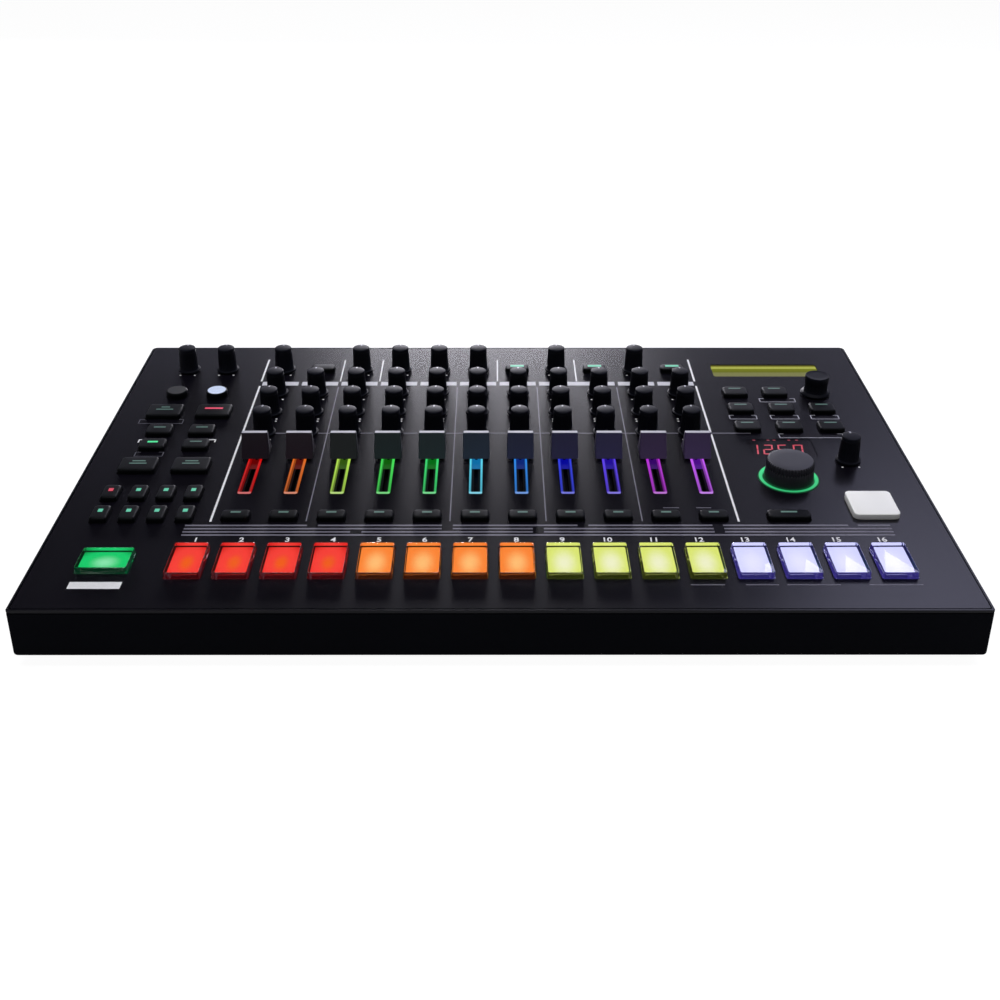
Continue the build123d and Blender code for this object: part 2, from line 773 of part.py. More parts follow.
socket_face = rear_wall_inner + socket_proud
jack_columns = [jack_place(index) for index in range(jack_count)]
trigger_across = right_edge - trigger_from_right
din_columns = [right_edge - inset for inset in din_from_right]
usb_across = right_edge - usb_from_right
inlet_across = right_edge - inlet_from_right
card_across = right_edge - card_from_right
button_across = right_edge - button_from_right
usb_axis = main_board_top + usb_height / 2
inlet_axis = main_board_top + inlet_height / 2
card_axis = main_board_top + card_height / 2
button_axis = main_board_top + switch_body_height / 2


def rear_block(across, width, height, depth):
    """Socket body that stands on the main board against the rear panel."""
    return box_between(
        (across - width / 2, rear_panel_inner - depth, main_board_top),
        (across + width / 2, rear_panel_inner, main_board_top + height))


def make_jack(across):
    """Quarter-inch jack with its bush through the rear panel, and its nut."""
    body = rear_block(across, jack_width, jack_body_height, jack_depth)
    body += bar_along_depth(jack_bush_diameter, across, socket_axis, rear_panel_inner, socket_face)
    bore_end = rear_panel_inner - jack_depth + jack_bore_end_wall
    body -= bar_along_depth(jack_bore_diameter, across, socket_axis, bore_end, socket_face)
    nut = extrude(Plane.XZ * RegularPolygon(jack_nut_diameter / 2, 6), amount=-jack_nut_thickness)
    nut = Pos(across, rear_wall_inner, socket_axis) * nut
    bush_room = bar_along_depth(jack_bush_diameter, across, socket_axis, rear_wall_inner, socket_face)
    return [body, nut - bush_room]


def make_trigger_jack():
    """Small jack with its bush through the rear panel."""
    body = rear_block(trigger_across, trigger_jack_width, jack_body_height, trigger_jack_depth)
    body += bar_along_depth(
        trigger_bush_diameter, trigger_across, socket_axis, rear_panel_inner, socket_face)
    bore_end = rear_panel_inner - trigger_jack_depth + jack_bore_end_wall
    return body - bar_along_depth(
        trigger_bore_diameter, trigger_across, socket_axis, bore_end, socket_face)


def make_din_socket(across):
    """Round data socket with a hollow mouth."""
    body = rear_block(across, din_width, jack_body_height, din_depth)
    body += bar_along_depth(din_ring_diameter, across, socket_axis, rear_panel_inner, socket_face)
    return body - bar_along_depth(
        din_hollow_diameter, across, socket_axis, socket_face - din_hollow_depth, socket_face)


def hollow_shell(across, width, height, depth, wall, hollow_depth):
    """Rectangular socket shell that reaches through the rear panel."""
    body = box_between(
        (across - width / 2, rear_panel_inner - depth, main_board_top),
        (across + width / 2, rear_wall_inner, main_board_top + height))
    return body - box_between(
        (across - width / 2 + wall, rear_wall_inner - hollow_depth, main_board_top + wall),
        (across + width / 2 - wall, rear_wall_inner, main_board_top + height - wall))


def make_inlet():
    """Power inlet with a round mouth."""
    body = box_between(
        (inlet_across - inlet_width / 2, rear_panel_inner - inlet_depth, main_board_top),
        (inlet_across + inlet_width / 2, rear_wall_inner, main_board_top + inlet_height))
    return body - bar_along_depth(
        inlet_hollow_diameter, inlet_across, inlet_axis, rear_wall_inner - inlet_hollow_depth, rear_wall_inner)


def make_button_body():
    """Housing of the power switch, with the channel its button slides in."""
    body = rear_block(button_across, switch_body_width, switch_body_height, switch_body_depth)
    room = 2 * cutout_clearance
    return body - box_between(
        (button_across - (button_width + room) / 2, rear_panel_inner - switch_body_depth + wall_thickness,
         button_axis - (button_height + room) / 2),
        (button_across + (button_width + room) / 2, rear_panel_inner, button_axis + (button_height + room) / 2))


def make_power_button():
    """Push button of the power switch."""
    foot = rear_panel_inner - switch_body_depth + wall_thickness + button_travel + running_clearance
    button = box_between(
        (button_across - button_width / 2, foot, button_axis - button_height / 2),
        (button_across + button_width / 2, socket_face, button_axis + button_height / 2))
    return chamfer(button.faces().sort_by(Axis.Y)[-1].edges(), button_height / 12)


def make_rear_panel():
    """Plate behind the rear opening, as touching tiles that part at the hole centres."""
    low = (-rear_opening_width / 2 - rear_panel_overlap, rear_panel_inner, floor_top)
    high = (rear_opening_width / 2 + rear_panel_overlap, rear_wall_inner,
            rear_opening_low + rear_opening_height + rear_panel_overlap)
    plate = box_between(low, high)
    holes = [(jack_bush_diameter, across, socket_axis) for across in jack_columns]
    holes += [(din_ring_diameter, across, socket_axis) for across in din_columns]
    holes += [(trigger_bush_diameter, trigger_across, socket_axis)]
    cuts = [across + side * (din_ring_diameter / 2 + cutout_clearance) / math.sqrt(2)
            for across in din_columns for side in (-1, 1)]
    for diameter, across, axis in holes:
        room = diameter + 2 * cutout_clearance
        plate -= bar_along_depth(room, across, axis, rear_panel_inner, rear_wall_inner)
        cuts.append(across)
    gap = cutout_clearance
    slots = (
        (usb_across, usb_width, usb_axis, usb_height), (inlet_across, inlet_width, inlet_axis, inlet_height),
        (card_across, card_width, card_axis, card_height),
        (button_across, button_width, button_axis, button_height),
    )
    for across, width, axis, height in slots:
        plate -= box_between(
            (across - width / 2 - gap, rear_panel_inner, axis - height / 2 - gap),
            (across + width / 2 + gap, rear_wall_inner, axis + height / 2 + gap))
        cuts += [across - width / 2 - gap, across + width / 2 + gap]
    edges = [low[0]] + sorted(cuts) + [high[0]]
    levels = (low[2], socket_axis, high[2])
    return [
        plate & box_between((left, low[1], bottom), (right, high[1], top))
        for left, right in zip(edges, edges[1:]) for bottom, top in zip(levels, levels[1:])
    ]


def make_feet():
    """Four round rubber feet under the floor."""
    foot = disc(foot_diameter, 0, foot_height)
    foot = chamfer(foot.faces().sort_by(Axis.Z)[0].edges(), foot_height / 4)
    reach_side = case_width / 2 - foot_inset_side
    reach_end = case_depth / 2 - foot_inset_end
    return [Pos(side * reach_side, end * reach_end) * foot for side in (-1, 1) for end in (-1, 1)]


def screw(head_low, tip):
    """Round-headed screw on the upright axis, with its tip above or below its head."""
    head_high = head_low + screw_head_height
    shank_low = min(head_high, tip)
    shank_high = max(head_low, tip)
    return disc(screw_head_diameter, head_low, head_high) + disc(screw_diameter, shank_low, shank_high)


def make_screws():
    """Case screws from below, and the screws of both circuit boards."""
    screws = []
    for across, depth in case_screw_places:
        tip = panel_under_height(depth) - 2 * screw_end_gap
        screws.append(Pos(across, depth) * screw(foot_height, tip))
    pillar_screw = screw(main_board_top, floor_top + screw_end_gap)
    screws += [Pos(*place) * pillar_screw for place in pillar_places]
    stud_screw = screw(board_under - screw_head_height, panel_under - screw_end_gap)
    return screws + [panel_frame * piece for piece in at_places(stud_screw, stud_places)]


save("bottom_case", make_bottom_case())
save("upper_frame", [make_upper_frame()])
save("top_panel", make_top_panel())
save("rear_panel", make_rear_panel())
save("rubber_feet", make_feet())
save("screws", make_screws())
save("control_board", make_control_board(), panel_frame)
save("main_board", [make_main_board()])
save("potentiometers", make_potentiometers(), panel_frame)
save("light_guides", make_light_guides(), panel_frame)

display = window_module(display_window_width, display_window_length, display_body_margin)
save("display_module", [Pos(*display_place) * piece for piece in display], panel_frame)
tempo_display = window_module(tempo_window_width, tempo_window_length, tempo_body_margin)
save("tempo_display", [Pos(*tempo_display_place) * piece for piece in tempo_display], panel_frame)
save("strike_pad", [Pos(*strike_pad_place) * make_strike_pad()], panel_frame)

jacks = [piece for across in jack_columns for piece in make_jack(across)]
save("audio_jacks", jacks + [make_trigger_jack()])
sockets = [make_din_socket(across) for across in din_columns]
sockets.append(hollow_shell(usb_across, usb_width, usb_height, usb_depth, usb_wall, usb_hollow_depth))
sockets.append(hollow_shell(card_across, card_width, card_height, card_depth, card_wall, card_hollow_depth))
save("data_sockets", sockets + [make_inlet(), make_button_body()])
save("power_button", [make_power_button()])

standard_knob = make_knob()
for knob_name, place in single_knobs.items():
    save(knob_name, [Pos(*place) * piece for piece in standard_knob], panel_frame)
save("channel_knobs", [knob for piece in standard_knob for knob in at_places(piece, channel_knob_places)],
     panel_frame)
save("value_knob", [Pos(*value_knob_place) * piece for piece in make_value_knob()], panel_frame)
save("tempo_knob", [Pos(*tempo_knob_place) * piece for piece in make_tempo_knob()], panel_frame)

fader = make_fader()
fader_rest = fader_frame_row + fader_travel / 2
for number, across in enumerate(channel_columns, 1):
    save("fader_cap_%02d" % number, [Pos(across, fader_rest) * piece for piece in fader], panel_frame)

step_pad = make_pad(pad_width, pad_length)
for number, across in enumerate(pad_columns, 1):
    save("step_pad_%02d" % number, [Pos(across, pad_row) * piece for piece in step_pad], panel_frame)
start_pad = make_pad(start_pad_width, start_pad_length)
save("start_stop_pad", [Pos(*start_pad_place) * piece for piece in start_pad], panel_frame)

row_key = make_key(key_width, key_length)
square_key = make_key(key_width, square_key_length)
left_keys = at_places(square_key, small_key_places)
left_keys += at_places(make_key(wide_key_width, wide_key_length), wide_key_places)
left_keys += at_places(make_key(variation_key_width, variation_key_length), variation_places)
left_keys += at_places(make_round_key(), round_key_places)
save("left_keys", left_keys, panel_frame)
save("channel_keys", at_places(row_key, row_key_places + effect_key_places), panel_frame)
right_keys = at_places(square_key, menu_places)
right_keys += at_places(make_key(mute_key_width, key_length), [mute_key_place])
save("right_keys", right_keys, panel_frame)
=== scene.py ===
"""Looks of the tabletop rhythm machine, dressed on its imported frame.

Sizes are in millimetres on the tilted top panel: across (x, from the middle), along (s, from the
front edge up the slope) and height (h, square to the panel). PanelFrame turns them into the row
frame. Finishes read places in the row frame, in metres.
"""

import logging
import math
from dataclasses import dataclass, field
from enum import Enum
from typing import Any, Callable, Iterable, Mapping, Sequence, Union

import bpy
import numpy as np
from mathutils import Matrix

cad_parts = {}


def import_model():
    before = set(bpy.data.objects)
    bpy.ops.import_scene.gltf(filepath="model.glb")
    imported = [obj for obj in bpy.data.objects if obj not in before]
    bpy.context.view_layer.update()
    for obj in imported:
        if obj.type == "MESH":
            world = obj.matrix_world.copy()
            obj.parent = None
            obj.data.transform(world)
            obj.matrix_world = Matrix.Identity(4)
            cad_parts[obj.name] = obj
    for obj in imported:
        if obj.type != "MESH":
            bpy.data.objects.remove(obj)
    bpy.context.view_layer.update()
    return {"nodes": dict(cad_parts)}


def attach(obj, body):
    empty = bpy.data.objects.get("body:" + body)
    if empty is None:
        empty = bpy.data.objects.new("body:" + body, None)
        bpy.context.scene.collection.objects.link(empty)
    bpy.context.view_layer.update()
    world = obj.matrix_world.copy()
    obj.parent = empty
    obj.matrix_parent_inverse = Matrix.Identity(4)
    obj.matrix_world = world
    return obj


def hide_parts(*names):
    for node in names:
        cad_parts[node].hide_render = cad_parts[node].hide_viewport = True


log = logging.getLogger("rhythm_machine")

Array = np.ndarray
Area = tuple[float, float, float, float]
Colour = tuple[float, float, float, float]
Pair = tuple[float, float]
Vector = tuple[float, float, float]

MM_PER_M = 1000.0
SHARP_EDGE = 35.0
WHITE: Colour = (1.0, 1.0, 1.0, 1.0)
BLACK: Colour = (0.0, 0.0, 0.0, 1.0)


def tone(red: float, green: float, blue: float) -> Colour:
    """Linear colour of a display colour.

    Args:
        red, green, blue: display values from 0 to 255.

    Returns:
        Linear red, green, blue and an alpha of 1.
    """
    display = np.array([red, green, blue]) / 255.0
    linear = np.where(display <= 0.04045, display / 12.92, ((display + 0.055) / 1.055) ** 2.4)
    return (float(linear[0]), float(linear[1]), float(linear[2]), 1.0)


def dimmed(colour: Colour, share: float) -> Colour:
    """Colour with its red, green and blue times a share."""
    return (*(channel * share for channel in colour[:3]), 1.0)


def linked(name: str, data: Any) -> bpy.types.Object:
    """New object of some data, in the scene.

    Args:
        name: name of the object.
        data: its mesh, curve, lamp or camera data.

    Returns:
        The object.
    """
    made = bpy.data.objects.new(name, data)
    bpy.context.scene.collection.objects.link(made)
    return made


# ---------------------------------------------------------------- frame and layout


@dataclass(frozen=True)
class PanelFrame:
    """Place of the tilted top panel in the row frame, in millimetres."""

    tilt: float = 3.7
    front_height: float = 28.0
    length: float = 263.55

    @property
    def depth(self) -> float:
        """Depth of the case on the table."""
        return self.length * math.cos(math.radians(self.tilt))

    def world(self, points: Array) -> Array:
        """Turns panel points into the row frame.

        The point starts at the panel's front edge, goes along by s up the slope and by h square to
        it: y = s cos t - h sin t and z = s sin t + h cos t, for the tilt t.

        Args:
            points: array of (across, along, height) in millimetres.

        Returns:
            Array of the same shape, in metres.
        """
        angle = math.radians(self.tilt)
        across, along, height = points[..., 0], points[..., 1], points[..., 2]
        depth = -self.depth / 2 + along * math.cos(angle) - height * math.sin(angle)
        lift = self.front_height + along * math.sin(angle) + height * math.cos(angle)
        return np.stack([across, depth, lift], axis=-1) / MM_PER_M


@dataclass(frozen=True)
class Layout:
    """Columns and rows of the controls on the panel."""

    left: float = -204.5
    right: float = 204.5
    pitch: float = 22.1
    field_left: float = -133.1
    pad_row: float = 35.1
    key_row: float = 72.7
    fader_row: float = 115.25
    fader_travel: float = 34.9
    knob_rows: tuple[float, ...] = (155.4, 178.5, 201.6)
    back_row: float = 231.9
    channels: int = 11
    steps: int = 16
    first_pad: float = 67.8
    last_pad: float = 32.5
    start_pad: float = 32.2
    value_knob: Pair = (174.2, 201.6)
    tempo_knob: Pair = (140.9, 109.1)

    @property
    def columns(self) -> Array:
        """Across positions of the channels."""
        return self.field_left + self.pitch * (np.arange(self.channels) + 0.5)

    @property
    def pads(self) -> Array:
        """Across positions of the step pads."""
        return np.linspace(self.left + self.first_pad, self.right - self.last_pad, self.steps)

    @property
    def single_knobs(self) -> dict[str, Pair]:
        """Place of every pointed knob that has a body of its own.

        Returns:
            (across, along) by the knob's name.
        """
        column = {"accent": 0, "reverb": 2, "delay_level": 3, "delay_time": 4,
                  "delay_feedback": 5, "master_effect": 7, "fill": 9}
        places = {"volume": (self.left + 28.1, self.back_row),
                  "input": (self.left + 50.1, self.back_row),
                  "shuffle": (self.right - 30.5, self.back_row - 105.8)}
        for name, index in column.items():
            places[name] = (float(self.columns[index]), self.back_row)
        return places

    def grid(self, columns: Iterable[float], rows: Iterable[float]) -> Array:
        """All (across, along) pairs of some columns and rows."""
        return np.array([(column, row) for row in rows for column in columns])


PANEL = PanelFrame()
PLAN = Layout()


# ---------------------------------------------------------------- shapes


@dataclass
class Shape:
    """Closed surface as points, four-sided faces and flat end rings, in panel millimetres."""

    points: Array
    quads: Array
    rings: list[Array] = field(default_factory=list)
    uv: Union[Array, None] = None

    def placed(self, places: Array) -> "Shape":
        """Copies of the shape, each moved across and along.

        Args:
            places: array of (across, along) pairs.

        Returns:
            One shape that holds every copy.
        """
        places = np.asarray(places, float).reshape(-1, 2)
        count, size = len(places), len(self.points)
        shift = np.column_stack([places, np.zeros(count)])
        points = (self.points[None] + shift[:, None]).reshape(-1, 3)
        step = np.arange(count) * size
        quads = (self.quads[None] + step[:, None, None]).reshape(-1, 4)
        rings = [ring + offset for offset in step for ring in self.rings]
        uv = None if self.uv is None else np.tile(self.uv, (count, 1))
        return Shape(points, quads, rings, uv)

    def build(self, name: str) -> bpy.types.Object:
        """Makes the object, smooth except at sharp edges.

        Args:
            name: name of the piece.

        Returns:
            The object, at the origin, with its place in its mesh.
        """
        mesh = bpy.data.meshes.new(name)
        faces = self.quads.tolist() + [ring.tolist() for ring in self.rings]
        mesh.from_pydata(PANEL.world(self.points), [], faces)
        if self.uv is not None:
            layer = mesh.uv_layers.new(name="UVMap")
            corners = np.zeros(len(mesh.loops), dtype=np.int32)
            mesh.loops.foreach_get("vertex_index", corners)
            layer.data.foreach_set("uv", self.uv[corners].astype(np.float32).ravel())
        mesh.shade_smooth()
        mesh.set_sharp_from_angle(angle=math.radians(SHARP_EDGE))
        mesh.validate()
        return linked(name, mesh)


def joined(shapes: Sequence[Shape]) -> Shape:
    """One shape that holds several, none of them with UVs.

    Args:
        shapes: the shapes.

    Returns:
        One shape with the points, faces and rings of all.
    """
    sizes = np.cumsum([0] + [len(shape.points) for shape in shapes])
    points = np.concatenate([shape.points for shape in shapes])
    quads = np.concatenate([shape.quads + start for shape, start in zip(shapes, sizes)])
    rings = [ring + start for shape, start in zip(shapes, sizes) for ring in shape.rings]
    return Shape(points, quads, rings)


def ring_grid(points: Array) -> Shape:
    """Closes a stack of rings, listed anticlockwise from low to high, into a solid skin.

    Args:
        points: array of (ring, corner, xyz).

    Returns:
        The skin, with its first and last ring filled.
    """
    rows, count = points.shape[:2]
    here = np.arange(rows - 1)[:, None] * count + np.arange(count)[None]
    beside = np.arange(rows - 1)[:, None] * count + (np.arange(count)[None] + 1) % count
    quads = np.stack([here, beside, beside + count, here + count], axis=-1).reshape(-1, 4)
    last = (rows - 1) * count + np.arange(count)
    return Shape(points.reshape(-1, 3), quads, [np.arange(count)[::-1], last])


def revolve(profile: Sequence[Pair], segments: int, ribs: int = 0,
            rib_depth: Union[Array, float] = 0.0) -> Shape:
    """Turned surface: the radius of each profile point is swept round the upright axis.

    With ribs, radius = r - depth * (1 + cos(ribs * angle)) / 2, so it dips once per rib.

    Args:
        profile: (radius, height) from the lowest ring to the highest.
        segments: points in each ring.
        ribs: dips round the ring.
        rib_depth: depth of the dips, one for all rings or one for each.

    Returns:
        The closed surface.
    """
    path = np.array(profile, float)
    angle = np.linspace(0, 2 * math.pi, segments, endpoint=False)
    dip = np.broadcast_to(np.asarray(rib_depth, float), len(path))[:, None]
    radius = path[:, :1] - dip * (1 + np.cos(ribs * angle)[None]) / 2
    height = np.broadcast_to(path[:, 1:], radius.shape)
    return ring_grid(np.stack([radius * np.cos(angle), radius * np.sin(angle), height], axis=-1))


def stacked(rings: Sequence[Sequence[float]], steps: int) -> Shape:
    """Stack of rounded rectangles.

    A ring's corner points are the corner's centre plus the radius times (cos, sin) of the angle.

    Args:
        rings: (width, length, corner radius, height) from low to high.
        steps: points in each rounded corner.

    Returns:
        The closed surface.
    """
    width, length, radius, height = (column[:, None] for column in np.array(rings, float).T)
    quarter = np.linspace(0, math.pi / 2, steps)
    angle = np.concatenate([quarter + turn * math.pi / 2 for turn in range(4)])
    side = np.repeat([1, -1, -1, 1], steps)[None]
    end = np.repeat([1, 1, -1, -1], steps)[None]
    across = side * (width / 2 - radius) + radius * np.cos(angle)[None]
    along = end * (length / 2 - radius) + radius * np.sin(angle)[None]
    return ring_grid(np.stack([across, along, np.broadcast_to(height, across.shape)], axis=-1))


def rounded_rings(width: float, length: float, low: float, high: float, corner: float,
                  edge: float, crown: float = 0.0, steps: int = 5) -> list[tuple[float, ...]]:
    """Rings of a block whose top edge is a quarter circle, under a low crown.

    The quarter circle draws each ring in by edge (1 - cos a) and lifts it to
    high - edge + edge sin a. The crown's height falls with the square of the way to its middle.

    Args:
        width, length: outer size.
        low, high: heights of the foot and of the end of the rounding.
        corner: radius of the upright corners.
        edge: radius of the top edge.
        crown: rise of the middle above the edge.
        steps: rings in the rounding.

    Returns:
        Rings for stacked.
    """
    crown_shares, corner_keep, least_corner, full_round = (0.12, 0.3, 0.55, 0.8), 0.6, 0.15, 0.98
    angle = np.linspace(0, math.pi / 2, steps)
    inset = np.concatenate([[0.0], edge * (1 - np.cos(angle))])
    height = np.concatenate([[low], high - crown - edge + edge * np.sin(angle)])
    if crown:
        share = np.array(crown_shares)
        reach = min(width, length) / 2 - edge
        inset = np.concatenate([inset, edge + reach * share])
        height = np.concatenate([height, high - crown * (1 - share) ** 2])
    radius = np.maximum(corner - inset * corner_keep, least_corner)
    radius = np.minimum(radius, (min(width, length) / 2 - inset) * full_round)
    return list(zip(width - 2 * inset, length - 2 * inset, radius, height))


def plates(areas: Sequence[Sequence[float]], low: float, high: float) -> Shape:
    """Thin flat plates, one for each area: its four corners at the low and at the high height.

    Args:
        areas: (left, right, front, back) of each plate.
        low, high: heights of its faces.

    Returns:
        The plates as one shape.
    """
    left, right, front, back = np.array(areas, float).T
    across = np.stack([right, left, left, right], axis=-1)
    along = np.stack([back, back, front, front], axis=-1)
    ring = np.stack([across, along, np.full_like(across, low)], axis=-1)
    top = ring.copy()
    top[..., 2] = high
    points = np.concatenate([ring, top], axis=1).reshape(-1, 3)
    box = np.array([[0, 1, 5, 4], [1, 2, 6, 5], [2, 3, 7, 6], [3, 0, 4, 7], [3, 2, 1, 0],
                    [4, 5, 6, 7]])
    quads = (box[None] + 8 * np.arange(len(left))[:, None, None]).reshape(-1, 4)
    return Shape(points, quads)


def strip(path: Sequence[Pair], width: float, thickness: float) -> Shape:
    """Narrow strip along a path in the upright plane through x = 0.

    Each cross-section is the path point plus and minus half the thickness along the path's normal.

    Args:
        path: (along, height) points.
        width: size across.
        thickness: size square to the path.

    Returns:
        The closed strip.
    """
    line = np.array(path, float)
    run = np.gradient(line, axis=0)
    run /= np.linalg.norm(run, axis=1)[:, None]
    normal = np.stack([-run[:, 1], run[:, 0]], axis=-1) * thickness / 2
    outer, inner = line + normal, line - normal
    side = np.stack([outer, outer, inner, inner], axis=1)
    across = np.broadcast_to(width / 2 * np.array([-1, 1, 1, -1])[None, :, None],
                             side.shape[:2] + (1,))
    return ring_grid(np.concatenate([across, side], axis=-1))


def uprights(columns: Iterable[float], half: float, front: float, back: float) -> list[Area]:
    """Areas of lines up the panel, each as wide as two halves."""
    return [(x - half, x + half, front, back) for x in columns]


def levels(row: float, half: float, spans: Iterable[Sequence[float]]) -> list[Area]:
    """Areas of lines across the panel on one row, one for each (left, right)."""
    return [(left, right, row - half, row + half) for left, right in spans]


def bars(places: Iterable[Sequence[float]], width: float, lift: float,
         thickness: float) -> list[Area]:
    """Areas of short bars, each a lift behind its place."""
    return [(x - width / 2, x + width / 2, s + lift - thickness / 2, s + lift + thickness / 2)
            for x, s in places]


# ---------------------------------------------------------------- materials


def math_method(operation: str, swapped: bool = False) -> Callable[["Signal", Any], "Signal"]:
    """Method that works out a Math node's operation.

    Args:
        operation: the node's operation.
        swapped: whether the other value comes first.

    Returns:
        The method.
    """
    def method(self: "Signal", other: Any) -> "Signal":
        """Result of the operation on this signal and another value."""
        first, second = (other, self) if swapped else (self, other)
        return self.graph.node("ShaderNodeMath", {"operation": operation}, {0: first, 1: second})

    return method


class Signal:
    """One output socket, on which arithmetic adds the nodes that work it out.

    A comparison gives 1 where it holds and 0 elsewhere, and a remainder is never negative.
    """

    def __init__(self, graph: "Graph", socket: bpy.types.NodeSocket) -> None:
        """Wraps a socket of a graph."""
        self.graph = graph
        self.socket = socket

    __add__ = __radd__ = math_method("ADD")
    __sub__ = math_method("SUBTRACT")
    __rsub__ = math_method("SUBTRACT", swapped=True)
    __mul__ = __rmul__ = math_method("MULTIPLY")
    __truediv__ = math_method("DIVIDE")
    __pow__ = math_method("POWER")
    __gt__ = math_method("GREATER_THAN")
    __lt__ = math_method("LESS_THAN")
    __mod__ = math_method("FLOORED_MODULO")

    def ease(self, start: float, end: float) -> "Signal":
        """0 before start, 1 after end, and a smooth rise between them."""
        return self.graph.node("ShaderNodeMapRange", {"interpolation_type": "SMOOTHSTEP"},
                               {0: self, 1: start, 2: end, 3: 0.0, 4: 1.0})

    def reach(self, other: "Signal") -> "Signal":
        """Distance from the origin, with this and another signal as its two sides."""
        return (self * self + other * other) ** 0.5


class Graph:
    """Node tree of one material or of the world."""

    def __init__(self, tree: bpy.types.NodeTree) -> None:
        """Starts from an empty tree."""
        self.tree = tree
        tree.nodes.clear()

    def node(self, kind: str, settings: Mapping[str, Any], inputs: Mapping[Any, Any],
             output: Union[int, str] = 0) -> Signal:
        """Adds a node.

        Args:
            kind: node type.
            settings: its own settings, set first.
            inputs: value or Signal for each named or numbered socket.
            output: which output to return.

        Returns:
            The output as a Signal.
        """
        made = self.tree.nodes.new(kind)
        for name, value in settings.items():
            setattr(made, name, value)
        for key, value in inputs.items():
            if isinstance(value, Signal):
                self.tree.links.new(value.socket, made.inputs[key])
            else:
                made.inputs[key].default_value = value
        return Signal(self, made.outputs[output] if len(made.outputs) else None)

    def ramp(self, share: Signal, interpolation: str,
             stops: Sequence[tuple[float, Colour]]) -> Signal:
        """Colour ramp.

        Args:
            share: place on the ramp, from 0 to 1.
            interpolation: how it goes from stop to stop.
            stops: place and colour of each stop, the first at 0.

        Returns:
            The colour.
        """
        colour = self.node("ShaderNodeValToRGB", {}, {0: share})
        ramp = colour.socket.node.color_ramp
        ramp.interpolation = interpolation
        while len(ramp.elements) > 1:
            ramp.elements.remove(ramp.elements[-1])
        ramp.elements[0].position, ramp.elements[0].color = stops[0]
        for place, shade in stops[1:]:
            ramp.elements.new(place).color = shade
        return colour

    def coordinates(self, kind: str = "Object") -> Signal:
        """Texture coordinates of a kind."""
        return self.node("ShaderNodeTexCoord", {}, {}, kind)

    def axis(self, vector: Signal, name: str) -> Signal:
        """One component of a vector."""
        return self.node("ShaderNodeSeparateXYZ", {}, {0: vector}, name)

    def ray(self, kind: str) -> Signal:
        """1 for rays of a kind, else 0."""
        return self.node("ShaderNodeLightPath", {}, {}, f"Is {kind} Ray")

    def noise(self, vector: Signal, size: float, detail: float = 2.0) -> Signal:
        """Cloudy pattern with features of a size in millimetres."""
        return self.node("ShaderNodeTexNoise", {}, {
            "Vector": vector, "Scale": 1.0 / (size / MM_PER_M), "Detail": detail, "Roughness": 0.5})

    def mix(self, share: Any, first: Any, second: Any) -> Signal:
        """Colour between two, by a share."""
        return self.node("ShaderNodeMix", {"data_type": "RGBA"}, {0: share, 6: first, 7: second}, 2)

    def bump(self, height: Signal, distance: float) -> Signal:
        """Normal of a height pattern, its distance in millimetres."""
        return self.node("ShaderNodeBump", {}, {
            "Strength": 1.0, "Distance": distance / MM_PER_M, "Height": height})


@dataclass(frozen=True)
class Finish:
    """A surface finish. Each kind says what its shader's sockets hold."""

    name: str

    def sockets(self, graph: Graph) -> Mapping[str, Any]:
        """Values and signals for the shader, by socket name."""
        raise NotImplementedError

    def material(self) -> bpy.types.Material:
        """The material, made once.

        Returns:
            The material, with its node tree filled from sockets.
        """
        name = "look_" + self.name
        found = bpy.data.materials.get(name)
        if found:
            return found
        made = bpy.data.materials.new(name)
        made.use_nodes = True
        graph = Graph(made.node_tree)
        shader = graph.node("ShaderNodeBsdfPrincipled", {}, self.sockets(graph))
        graph.node("ShaderNodeOutputMaterial", {}, {"Surface": shader})
        return made


@dataclass(frozen=True)
class Moulded(Finish):
    """Moulded, painted or rubber surface with a fine grain and faint clouds in tone and gloss."""

    colour: Colour
    shade: Colour
    roughness: float
    spread: float
    specular: float
    grain: float = 0.35
    depth: float = 0.012
    cloud: float = 45.0
    cloud_share: float = 0.7

    def sockets(self, graph: Graph) -> Mapping[str, Any]:
        """Grain feeds the bump and the gloss, clouds feed the tone.

        Args:
            graph: node tree of the material.

        Returns:
            Values and signals for the shader, by socket name.
        """
        place = graph.coordinates()
        grain = graph.noise(place, self.grain, detail=3.0)
        cloud = graph.noise(place, self.cloud)
        blend = cloud * self.cloud_share + grain * (1 - self.cloud_share)
        fine, broad = (grain - 0.5) * self.spread, (cloud - 0.5) * self.spread
        return {"Base Color": graph.mix(blend, self.colour, self.shade),
                "Roughness": self.roughness + fine + broad, "Specular IOR Level": self.specular,
                "Normal": graph.bump(grain, self.depth)}


@dataclass(frozen=True)
class Printed(Finish):
    """Screen-printed ink: a little thinner and duller in places."""

    colour: Colour
    grain: float = 0.9
    thin: float = 0.82
    gloss: Pair = (0.45, 0.15)
    specular: float = 0.3

    def sockets(self, graph: Graph) -> Mapping[str, Any]:
        """Ink thickness from fine noise.

        Args:
            graph: node tree of the material.

        Returns:
            Values and signals for the shader, by socket name.
        """
        ink = graph.noise(graph.coordinates(), self.grain)
        return {"Base Color": graph.mix(ink, self.colour, dimmed(self.colour, self.thin)),
                "Roughness": self.gloss[0] + ink * self.gloss[1],
                "Specular IOR Level": self.specular}


